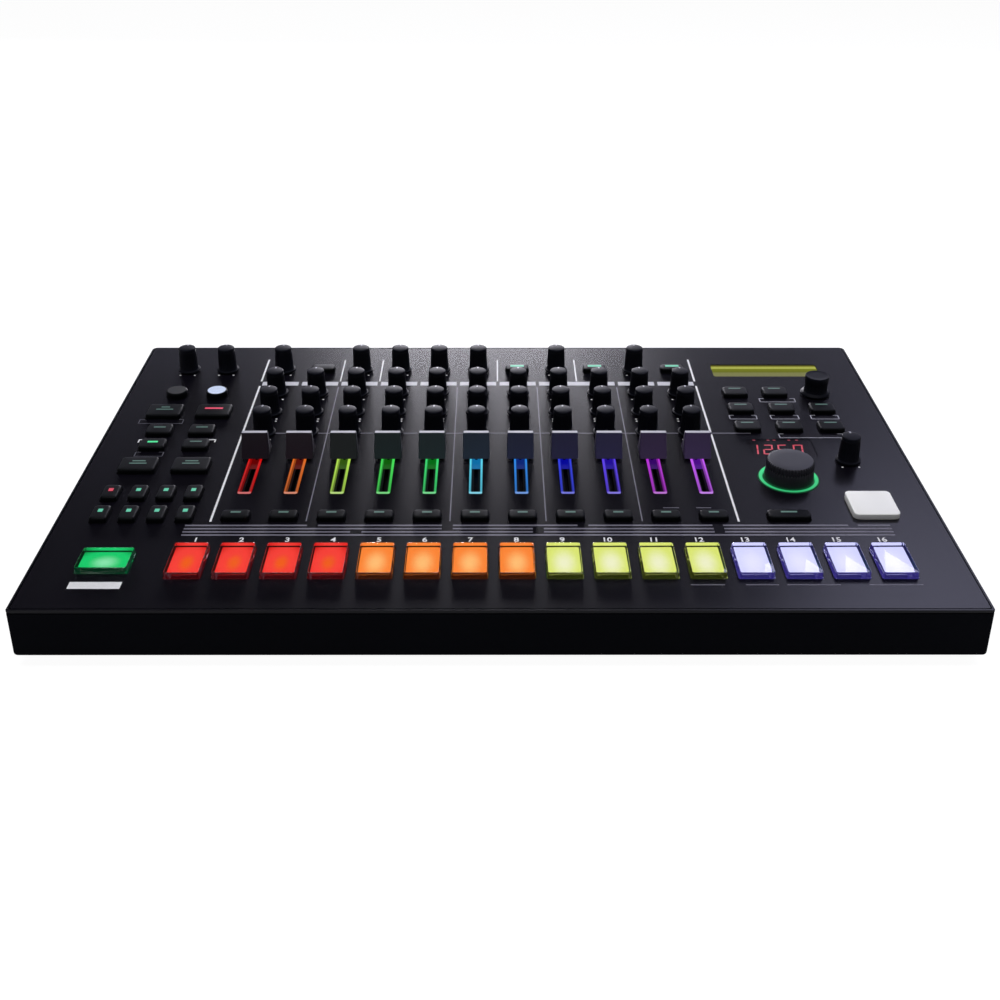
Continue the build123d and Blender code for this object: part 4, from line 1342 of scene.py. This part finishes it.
@dataclass
class FaderCap:
    """Wedge cap with hollowed flanks, its metal lever and a pale ridge line that is partly print
    and partly a painted highlight.
    """

    number: int
    across: float
    foot: float = 1.2
    top: float = 13.0
    base: Pair = (13.4, 13.8)
    ridge: Pair = (13.0, 2.6)
    edge: float = 0.3
    hollow: float = 0.45
    chamfer: float = 0.25
    corner: float = 0.7
    lever: Pair = (0.6, 2.0)
    lever_foot: float = -6.75
    line_inset: Pair = (0.3, 0.2)
    line_rows: Pair = (-0.02, 0.04)

    @property
    def rest(self) -> float:
        """Row of the cap at rest, at the rear end of its travel."""
        return PLAN.fader_row + PLAN.fader_travel / 2

    def rings(self) -> list[tuple[float, ...]]:
        """Rings from foot to ridge: straight sides, flanks drawn in by hollow times sin(pi t).

        Returns:
            Rings for stacked.
        """
        flank_rings, edge_rings, full_round = 9, 4, 0.9
        share = np.linspace(0, 1, flank_rings)
        width = self.base[0] + (self.ridge[0] - self.base[0]) * share
        length = self.base[1] + (self.ridge[1] - self.base[1]) * share
        length = length - 2 * self.hollow * np.sin(math.pi * share)
        height = self.foot + (self.top - self.edge - self.foot) * share
        angle = np.linspace(0, math.pi / 2, edge_rings)[1:]
        inset, under = self.edge * (1 - np.cos(angle)), 2 * self.chamfer
        width = np.concatenate([[width[0] - under], width, width[-1] - 2 * inset])
        length = np.concatenate([[length[0] - under], length, length[-1] - 2 * inset])
        height = np.concatenate([[height[0]], height + self.chamfer * (1 - share),
                                 self.top - self.edge + self.edge * np.sin(angle)])
        radius = np.minimum(self.corner, length / 2 * full_round)
        return list(zip(width, length, radius, height))

    def build(self) -> None:
        """Makes the cap with its lever, and the ridge line, partly a painted highlight."""
        node, place = f"fader_cap_{self.number:02d}", [(self.across, self.rest)]
        wide, long = self.lever
        lever = plates([(-wide, wide, -long, long)], self.lever_foot, self.foot)
        cap = joined([stacked(self.rings(), steps=4), lever]).placed(place)
        add(cap, node + "_cap", node, fader_plastic(self.number - 1), [node])
        # ridge line: partly print, partly a painted highlight along the ridge and both ends
        half, ridge = [size / 2 - inset for size, inset in zip(self.ridge, self.line_inset)]
        low, high = [self.top + lift for lift in self.line_rows]
        top = plates([(-half, half, -ridge, ridge)], low, high)
        line = joined([top, self.side_line(-1), self.side_line(1)]).placed(place)
        add(line, node + "_line", node, RIDGE_INK_AND_HIGHLIGHT)

    def side_line(self, side: int) -> Shape:
        """Pale line down one end of the cap, partly a painted edge highlight, on the plane that
        joins the base and the ridge.

        Args:
            side: -1 for the left end and 1 for the right.

        Returns:
            The line, its width shrinking from ridge to foot.
        """
        half, tuck = np.array([0.3, 0.45, 0.5, 0.5]), np.array([0.0, 0.0, 0.16, 0.36])
        proud, deep = 0.04, 0.1
        height = np.array([self.foot + 0.4, self.top - self.edge, self.top - 0.1, self.top + 0.03])
        share = (height - self.foot) / (self.top - self.foot)
        face = (self.base[0] + (self.ridge[0] - self.base[0]) * share) / 2 - tuck
        across = np.stack([face + proud, face + proud, face - deep, face - deep], axis=-1) * side
        along = np.stack([-half, half, half, -half], axis=-1)
        ring = np.stack([across, along, np.broadcast_to(height[:, None], across.shape)], axis=-1)
        return ring_grid(ring if side > 0 else ring[:, ::-1])


@dataclass
class TurnedKnob:
    """Turned knob with flutes between two heights, on its shaft."""

    profile: tuple[Pair, ...]
    segments: int
    flutes: int
    flute_depth: float
    fluted: Pair
    shaft: tuple[Pair, ...] = ((3.0, -7.1), (3.0, 0.65))
    shaft_segments: int = 24

    def depths(self) -> Array:
        """Depth of the flutes at each ring of the profile.

        Returns:
            One depth for each point of the profile.
        """
        height = np.array(self.profile)[:, 1]
        return np.where((height > self.fluted[0]) & (height < self.fluted[1]),
                        self.flute_depth, 0.0)

    def build(self, name: str, body: str, node: str, places: Sequence[Sequence[float]],
              finish: Finish) -> None:
        """Makes the knobs in place of a CAD node.

        Args:
            name: name of the piece.
            body: body that it moves with.
            node: CAD node that it stands for.
            places: (across, along) of each knob.
            finish: its finish.
        """
        turned = revolve(self.profile, self.segments, self.flutes, self.depths())
        knob = joined([turned, revolve(self.shaft, self.shaft_segments)])
        add(knob.placed(np.array(places)), name, body, finish, [node])


@dataclass
class PointedKnob(TurnedKnob):
    """Tall tapered knob: thin skirt, grooved crown and pale pointer."""

    profile: tuple[Pair, ...] = (
        (5.7, 0.6), (6.15, 0.63), (6.2, 0.75), (6.2, 1.25), (6.1, 1.42), (5.9, 1.48), (5.4, 1.55),
        (5.22, 1.75), (5.15, 2.1), (5.0, 5.5), (4.72, 12.1), (4.7, 12.25), (4.52, 12.38),
        (4.5, 12.6), (4.64, 12.74), (4.66, 12.9), (4.62, 13.9), (4.54, 14.1), (4.38, 14.22),
        (4.1, 14.28), (2.6, 14.42), (0.7, 14.5))
    segments: int = 96
    flutes: int = 24
    flute_depth: float = 0.16
    fluted: Pair = (2.0, 12.2)
    pointer: tuple[Pair, ...] = (
        (2.5, 14.43), (3.4, 14.35), (4.12, 14.28), (4.4, 14.21), (4.56, 14.09), (4.64, 13.9),
        (4.66, 13.3))
    pointer_size: Pair = (0.8, 0.08)

    def build(self, name: str, body: str, node: str, places: Sequence[Sequence[float]],
              finish: Finish = KNOB_RUBBER) -> None:
        """Makes the knobs and their pointers in place of a CAD node.

        Args:
            name: name of the piece.
            body: body that it moves with.
            node: CAD node that it stands for.
            places: (across, along) of each knob.
            finish: its finish.
        """
        super().build(name, body, node, places, finish)
        mark = strip(self.pointer, *self.pointer_size).placed(np.array(places))
        add(mark, name + "_pointers", body, POINTER_INK)


@dataclass
class ValueKnob(TurnedKnob):
    """Stepping knob with a wide skirt, a waist and a flat top inside a thin rim."""

    profile: tuple[Pair, ...] = (
        (7.6, 0.6), (7.9, 0.75), (7.9, 1.2), (7.5, 1.7), (6.4, 2.3), (6.15, 3.0), (6.05, 6.4),
        (6.3, 7.6), (6.44, 8.2), (6.5, 10.7), (6.42, 11.1), (6.2, 11.34), (5.9, 11.4),
        (5.7, 11.34), (3.0, 11.32), (0.8, 11.32))
    segments: int = 180
    flutes: int = 36
    flute_depth: float = 0.1
    fluted: Pair = (2.0, 8.0)


@dataclass
class TempoKnob(TurnedKnob):
    """Broad knob with a notched rim and a softly domed matte top."""

    profile: tuple[Pair, ...] = (
        (11.7, 0.6), (12.0, 0.8), (12.0, 1.2), (11.45, 6.6), (11.5, 6.9), (11.6, 7.2),
        (11.45, 9.6), (11.2, 10.05), (10.8, 10.3), (10.2, 10.4), (6.0, 10.48), (0.8, 10.5))
    segments: int = 480
    flutes: int = 48
    flute_depth: float = 0.6
    fluted: Pair = (6.8, 10.35)
    notch: tuple[float, ...] = (0.45, 0.6, 0.6, 0.5, 0.2)

    def depths(self) -> Array:
        """Notches that fade out towards the top and the skirt.

        Returns:
            One depth for each point of the profile.
        """
        depth = super().depths()
        depth[depth > 0] = self.notch
        return depth


class Glow(Enum):
    """Light of a key's mark."""

    SHADE = Lamp("mark_shade", tone(9, 11, 13))
    DIM = Lamp("mark_dim", tone(76, 116, 106))
    TEAL = Lamp("mark_teal", tone(84, 204, 166))
    GREEN = Lamp("mark_green", tone(60, 232, 150), 1.1)
    RED = Lamp("mark_red", tone(236, 60, 96), 1.1)
    ROSE = Lamp("mark_rose", tone(220, 50, 80))
    PALE = Lamp("mark_pale", tone(206, 220, 250))


@dataclass
class KeyBank:
    """A bank of small keys with rounded tops, and the lit marks on them."""

    body: str
    keys: list[tuple[float, float, Array]]
    marks: dict[Glow, list[Area]]
    rounds: Sequence[Pair] = ()
    discs: dict[Glow, Vector] = field(default_factory=dict)
    height: float = 2.5
    corner: float = 1.7
    edge: float = 0.9
    crown: float = 0.1
    foot_corner: float = 1.0
    rise: float = -1.0
    flange: Vector = (0.9, -2.25, -1.25)
    seam: float = 0.01
    stem: Pair = (1.6, -5.75)
    round_radius: float = 5.75
    round_top: float = 3.4
    round_edge: tuple[Pair, ...] = (
        (0.0, 0.8), (0.09, 0.45), (0.3, 0.15), (0.55, 0.05), (0.75, 0.02))
    round_crown: tuple[Pair, ...] = ((3.0, 0.01), (0.8, 0.0))
    disc: Pair = (4.9, 0.08)
    mark: Pair = (0.04, 0.12)

    def stalk(self) -> Shape:
        """Stem from a key's flange to its switch."""
        radius, foot = self.stem
        return revolve([(radius, foot), (radius, self.flange[1])], segments=12)

    def cap(self, width: float, length: float) -> Shape:
        """One key with its flange and stem.

        Args:
            width: size across.
            length: size along.

        Returns:
            The key on the upright axis.
        """
        reach, low, high = self.flange
        wide, long = width + 2 * reach, length + 2 * reach
        square, rise = self.foot_corner, self.rise
        rings = [(wide, long, square, low), (wide, long, square, high),
                 (width, length, square, high + self.seam)]
        rings += rounded_rings(width, length, rise, self.height, self.corner, self.edge,
                               self.crown)
        return joined([stacked(rings, steps=5), self.stalk()])

    def round_caps(self) -> list[Shape]:
        """The round keys and their stems.

        Returns:
            Their shapes, none where the bank has no round keys.
        """
        if not self.rounds:
            return []
        reach, low, high = self.flange
        radius, top = self.round_radius, self.round_top
        button = [(radius + reach, low), (radius + reach, high), (radius, high + self.seam)]
        button += [(radius - inset, top - drop) for inset, drop in self.round_edge]
        button += [(across, top - drop) for across, drop in self.round_crown]
        turned = revolve(button, segments=48)
        return [turned.placed(self.rounds), self.stalk().placed(self.rounds)]

    def build(self) -> None:
        """Makes the caps in place of the CAD node, then their marks."""
        shapes = [self.cap(width, length).placed(places) for width, length, places in self.keys]
        add(joined(shapes + self.round_caps()), self.body + "_caps", self.body, KEY_RUBBER,
            [self.body])
        top = self.height + self.mark[0]
        for glow, areas in self.marks.items():
            add(plates(areas, top - self.mark[1], top), f"{self.body}_{glow.name.lower()}_marks",
                self.body, glow.value)
        radius, thickness = self.disc
        for glow, (across, along, proud) in self.discs.items():
            high = self.round_top + proud
            spot = revolve([(radius, high - thickness), (radius, high)], segments=32)
            spot = spot.placed([(across, along)])
            add(spot, f"{self.body}_{glow.name.lower()}_discs", self.body, glow.value)


def left_bank() -> KeyBank:
    """Keys on the left: two round, four wide, four small and eight variation keys.

    Returns:
        The bank.
    """
    left, back, row = PLAN.left, PLAN.back_row, PLAN.key_row
    small = PLAN.grid((left + 28.2, left + 50.1), (back - 75.3, back - 90.9))
    wide = PLAN.grid((left + 26.1, left + 52.2), (back - 53.7, back - 112.2))
    variation = PLAN.grid([left + 19.6 + 13.1 * i for i in range(4)], (row + 1.3, row + 20.1))
    rounds = [(left + 28.0, back - 32.1), (left + 49.9, back - 32.1)]
    lit = np.delete(variation, 4, axis=0)
    dim = bars(wide[:1], 4.5, 2.6, 0.9) + bars(wide[:1], 9.0, 0.0, 0.9)
    dim += bars(wide[2:], 6.5, 2.2, 0.9) + bars(wide[2:], 8.5, -0.2, 0.9)
    dim += bars(small[[0, 1, 3]], 6.0, 1.2, 0.9)
    return KeyBank(
        "left_keys", [(13.0, 10.0, small), (18.2, 13.6, wide), (7.8, 12.5, variation)],
        {Glow.DIM: dim, Glow.GREEN: bars(small[2:3], 5.2, 0.8, 1.6),
         Glow.RED: bars(wide[1:2], 9.6, 1.2, 1.6), Glow.TEAL: bars(lit, 2.2, 1.1, 2.6),
         Glow.ROSE: bars(variation[4:5], 2.2, 1.1, 2.6)},
        rounds, {Glow.PALE: (*rounds[1], 0.04), Glow.SHADE: (*rounds[0], 0.03)})


def channel_bank() -> KeyBank:
    """Eleven channel keys and the effect keys of the back row.

    Returns:
        The bank.
    """
    row = PLAN.grid(PLAN.columns, [PLAN.key_row])
    effects = PLAN.grid(PLAN.columns[[1, 6, 8, 10]], [PLAN.back_row])
    return KeyBank("channel_keys", [(13.0, 7.2, np.concatenate([row, effects]))],
                   {Glow.DIM: bars(row, 4.6, 0.9, 1.2),
                    Glow.TEAL: bars(effects[1:], 7.6, 0.8, 2.2)})


def right_bank() -> KeyBank:
    """Menu keys, their rear right place left to the value knob, and the wide mute key.

    Returns:
        The bank.
    """
    right, back = PLAN.right, PLAN.back_row
    menu = PLAN.grid((right - 74.6, right - 52.8, right - 31.0),
                     (back - 30.6, back - 50.1, back - 71.1))
    menu, mute = np.delete(menu, 2, axis=0), PLAN.grid([right - 70.8], [PLAN.key_row])
    return KeyBank("right_keys", [(13.0, 10.0, menu), (19.7, 7.2, mute)],
                   {Glow.DIM: bars(menu, 6.5, 2.2, 0.9) + bars(mute, 7.5, 1.0, 1.2)})


@dataclass
class TempoReadout:
    """Seven-segment digits and a row of beat dots behind the smoked window."""

    text: str = "1250"
    starts: tuple[float, ...] = (126.0, 133.4, 140.9, 148.7)
    front: float = 133.3
    digit: Pair = (5.0, 10.0)
    bar: float = 0.8
    gap: float = 0.22
    lean: float = 0.12
    point: Pair = (0.8, 0.9)
    surface: float = -0.2
    thickness: float = 0.04
    dots: tuple[float, ...] = (131.0, 138.3, 141.4, 149.0, 153.0)
    dot_half: float = 0.7
    dot_rows: Pair = (147.8, 148.6)

    def segments(self, digit: str) -> list[Area]:
        """Areas of one digit's lit bars, from its own front left corner.

        Args:
            digit: the digit.

        Returns:
            Areas of its bars.
        """
        width, height = self.digit
        half, bar, gap = height / 2, self.bar, self.gap
        areas = {
            "a": (bar, width - bar, height - bar, height),
            "b": (width - bar, width, half + gap, height - gap),
            "c": (width - bar, width, gap, half - gap),
            "d": (bar, width - bar, 0, bar),
            "e": (0, bar, gap, half - gap),
            "f": (0, bar, half + gap, height - gap),
            "g": (bar, width - bar, half - bar / 2, half + bar / 2),
        }
        lit = {"0": "abcdef", "1": "bc", "2": "abged", "5": "afgcd"}
        return [areas[name] for name in lit[digit]]

    def build(self) -> None:
        """Makes the digits, their point and the dots on the window's face."""
        low, high = self.surface, self.surface + self.thickness
        areas = [(start + a, start + b, self.front + c, self.front + d)
                 for start, digit in zip(self.starts, self.text)
                 for a, b, c, d in self.segments(digit)]
        space, size = self.point
        point = self.starts[2] + self.digit[0] + space
        areas.append((point, point + size, self.front, self.front + size))
        shape = plates(areas, low, high)
        shape.points[:, 0] += (shape.points[:, 1] - self.front) * self.lean
        add(shape, "tempo_digits", "case", Lamp("tempo_digits", tone(216, 52, 74)))
        beads = plates(uprights(self.dots, self.dot_half, *self.dot_rows), low, high)
        add(beads, "tempo_dots", "case", Lamp("tempo_dots", tone(150, 26, 52)))


@dataclass
class StrikePad:
    """Square silicone pad with a flat top and a crisp edge, on its flange and foot."""

    place: Pair = (174.4, 81.8)
    size: Pair = (21.3, 21.5)
    flange: float = 1.5
    foot: float = 3.0
    foot_low: float = -8.4
    flange_rows: Pair = (-2.25, -1.25)
    seam: float = 0.01
    panel: float = 0.05
    corner: float = 3.0
    top: float = 2.6
    top_corner: float = 2.2
    edge: float = 0.35

    def build(self) -> None:
        """Makes the pad in place of the CAD node."""
        low, high = self.flange_rows
        rings = [(self.size[0] + 2 * grown, self.size[1] + 2 * grown, self.corner, height)
                 for grown, height in ((-self.foot, self.foot_low), (-self.foot, low - self.seam),
                                       (self.flange, low), (self.flange, high),
                                       (0.0, high + self.seam), (0.0, self.panel))]
        rings += rounded_rings(*self.size, 2 * self.panel, self.top, self.top_corner, self.edge,
                               steps=4)
        pad = stacked(rings, steps=8).placed([self.place])
        add(pad, "strike_pad_cap", "case", SILICONE, ["strike_pad"])


@dataclass
class SlotGlow:
    """Lit floor at the rear end of each fader slot."""

    half: float = 2.1
    front: float = 121.5
    back: float = 135.0
    floor: float = -2.0
    thickness: float = 0.05

    def build(self) -> None:
        """Makes one plate in each slot, on the slide controls."""
        areas = uprights(PLAN.columns, self.half, self.front, self.back)
        shape = plates(areas, self.floor, self.floor + self.thickness)
        add(shape, "fader_slot_glow", "case", SLOT_LIGHT)


# ---------------------------------------------------------------- studio


@dataclass(frozen=True)
class Softbox:
    """A rectangular lamp that faces a point."""

    name: str
    place: Vector
    aim: Vector
    size: Pair
    radiance: float
    colour: Vector = (1.0, 1.0, 1.0)

    def build(self) -> None:
        """Adds the lamp, dark through glass; its power is radiance times pi times its area."""
        data = bpy.data.lights.new(self.name, "AREA")
        data.shape, data.size, data.size_y = "RECTANGLE", *self.size
        data.energy = self.radiance * math.pi * self.size[0] * self.size[1]
        data.color = self.colour
        lamp = linked(self.name, data)
        lamp.location = self.place
        lamp.visible_transmission = False
        away = np.array(self.place) - np.array(self.aim)
        lamp.rotation_euler = (math.atan2(math.hypot(away[0], away[1]), away[2]), 0.0,
                               math.atan2(away[0], -away[1]))


@dataclass
class Studio:
    """Pale floor, surrounding light, softboxes and the camera."""

    lens: float = 45.706
    sensor: float = 36.0
    camera_place: Vector = (-0.00291, -0.57723, 0.30982)
    camera_turn: Vector = (64.21, -0.037, -0.098)
    shift: Pair = (0.00415, -0.03452)
    clip: Pair = (0.01, 50.0)
    floor_size: float = 16.0
    floor_glow: float = 1.2
    floor_seen: float = 0.8
    floor_glossy: float = 0.2
    fleck: float = 20.0
    paper: tuple[Colour, Colour] = (tone(236, 236, 238), tone(230, 230, 232))
    horizon: Pair = (0.06, 0.32)
    ambient: Pair = (0.05, 0.3)
    shown: Pair = (0.03, 0.7)
    boxes: tuple[Softbox, ...] = (
        Softbox("rear_softbox", (-0.03, 1.53, 0.36), (0.0, 0.1, 0.04), (0.46, 0.24), 44.0,
                (0.94, 0.92, 1.0)),
        Softbox("rear_wide", (0.15, 1.7, 0.40), (0.0, 0.1, 0.04), (2.6, 0.24), 3.4,
                (0.74, 0.74, 1.0)),
        Softbox("right_softbox", (0.83, 1.08, 1.33), (0.1, 0.0, 0.03), (0.7, 0.7), 4.1,
                (0.72, 0.72, 1.0)),
        Softbox("top_softbox", (0.0, -0.1, 1.5), (0.0, 0.0, 0.0), (1.4, 1.0), 3.6),
    )

    def floor(self) -> None:
        """Floor that looks white to the camera, a little so to gloss, and keeps the shadow."""
        half = self.floor_size / 2
        mesh = bpy.data.meshes.new("floor")
        corners = [(-half, -half, 0), (half, -half, 0), (half, half, 0), (-half, half, 0)]
        mesh.from_pydata(corners, [], [(0, 1, 2, 3)])
        floor = linked("floor", mesh)
        material = bpy.data.materials.new("floor_paper")
        material.use_nodes = True
        graph = Graph(material.node_tree)
        colour = graph.mix(graph.noise(graph.coordinates(), self.fleck), *self.paper)
        paper = graph.node("ShaderNodeBsdfDiffuse", {}, {0: colour})
        glow = graph.node("ShaderNodeEmission", {}, {0: WHITE, 1: self.floor_glow})
        share = graph.ray("Camera") * self.floor_seen + graph.ray("Glossy") * self.floor_glossy
        surface = graph.node("ShaderNodeMixShader", {}, {0: share, 1: paper, 2: glow})
        graph.node("ShaderNodeOutputMaterial", {}, {"Surface": surface})
        floor.data.materials.append(material)

    def surroundings(self) -> None:
        """World: white to the camera, pale near the horizon for the rest, dark through glass."""
        world = bpy.data.worlds.new("studio")
        bpy.context.scene.world = world
        world.use_nodes = True
        graph = Graph(world.node_tree)
        rise = graph.axis(graph.coordinates("Generated"), "Z")
        seen, glossy, through = [graph.ray(kind) for kind in ("Camera", "Glossy", "Transmission")]
        horizon = 1 - rise.ease(*self.horizon)
        ambient = self.ambient[0] + self.ambient[1] * horizon
        shown = self.shown[0] + self.shown[1] * horizon
        level = seen + (1 - seen) * (1 - through) * (glossy * shown + (1 - glossy) * ambient)
        sky = graph.node("ShaderNodeBackground", {}, {0: WHITE, 1: level})
        graph.node("ShaderNodeOutputWorld", {}, {"Surface": sky})

    def camera(self) -> None:
        """Camera in front of and above the panel."""
        data = bpy.data.cameras.new("camera")
        data.sensor_width, data.lens = self.sensor, self.lens
        data.shift_x, data.shift_y = self.shift
        data.clip_start, data.clip_end = self.clip
        camera = linked("camera", data)
        camera.location = self.camera_place
        camera.rotation_euler = [math.radians(turn) for turn in self.camera_turn]
        bpy.context.scene.camera = camera

    def build(self) -> None:
        """Sets the stage."""
        bpy.context.scene.view_settings.view_transform = "Standard"
        self.floor()
        self.surroundings()
        self.camera()
        for box in self.boxes:
            box.build()


# ---------------------------------------------------------------- assembly


def build_pads() -> None:
    """The step pads and the start pad."""
    for index, across in enumerate(PLAN.pads):
        ClearPad(f"step_pad_{index + 1:02d}", float(across), PadHue.of_step(index)).build()
    across = PLAN.left + PLAN.start_pad
    ClearPad("start_stop_pad", across, PadHue.GREEN, width=23.0, length=16.5).build()


def build_knobs() -> None:
    """The channel knobs, the single pointed knobs and the two endless knobs."""
    knob = PointedKnob()
    channel = PLAN.grid(PLAN.columns, PLAN.knob_rows)
    knob.build("channel_knob_caps", "case", "channel_knobs", channel)
    for name, place in PLAN.single_knobs.items():
        body = name + "_knob"
        knob.build(body + "_cap", body, body, [place])
    ValueKnob().build("value_knob_cap", "value_knob", "value_knob", [PLAN.value_knob], KNOB_RUBBER)
    TempoKnob().build("tempo_knob_cap", "tempo_knob", "tempo_knob", [PLAN.tempo_knob],
                      BROAD_RUBBER)


def main() -> None:
    """Builds every sub-assembly in order."""
    logging.basicConfig(level=logging.INFO, format="%(name)s: %(message)s")
    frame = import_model()
    CaseFinishes(frame["nodes"]).dress()
    PanelPrint().build()
    build_pads()
    for index, across in enumerate(PLAN.columns, 1):
        FaderCap(index, float(across)).build()
    SlotGlow().build()
    StrikePad().build()
    build_knobs()
    for bank in (left_bank(), channel_bank(), right_bank()):
        bank.build()
    TempoReadout().build()
    Studio().build()


if __name__ == "__main__":
    main()
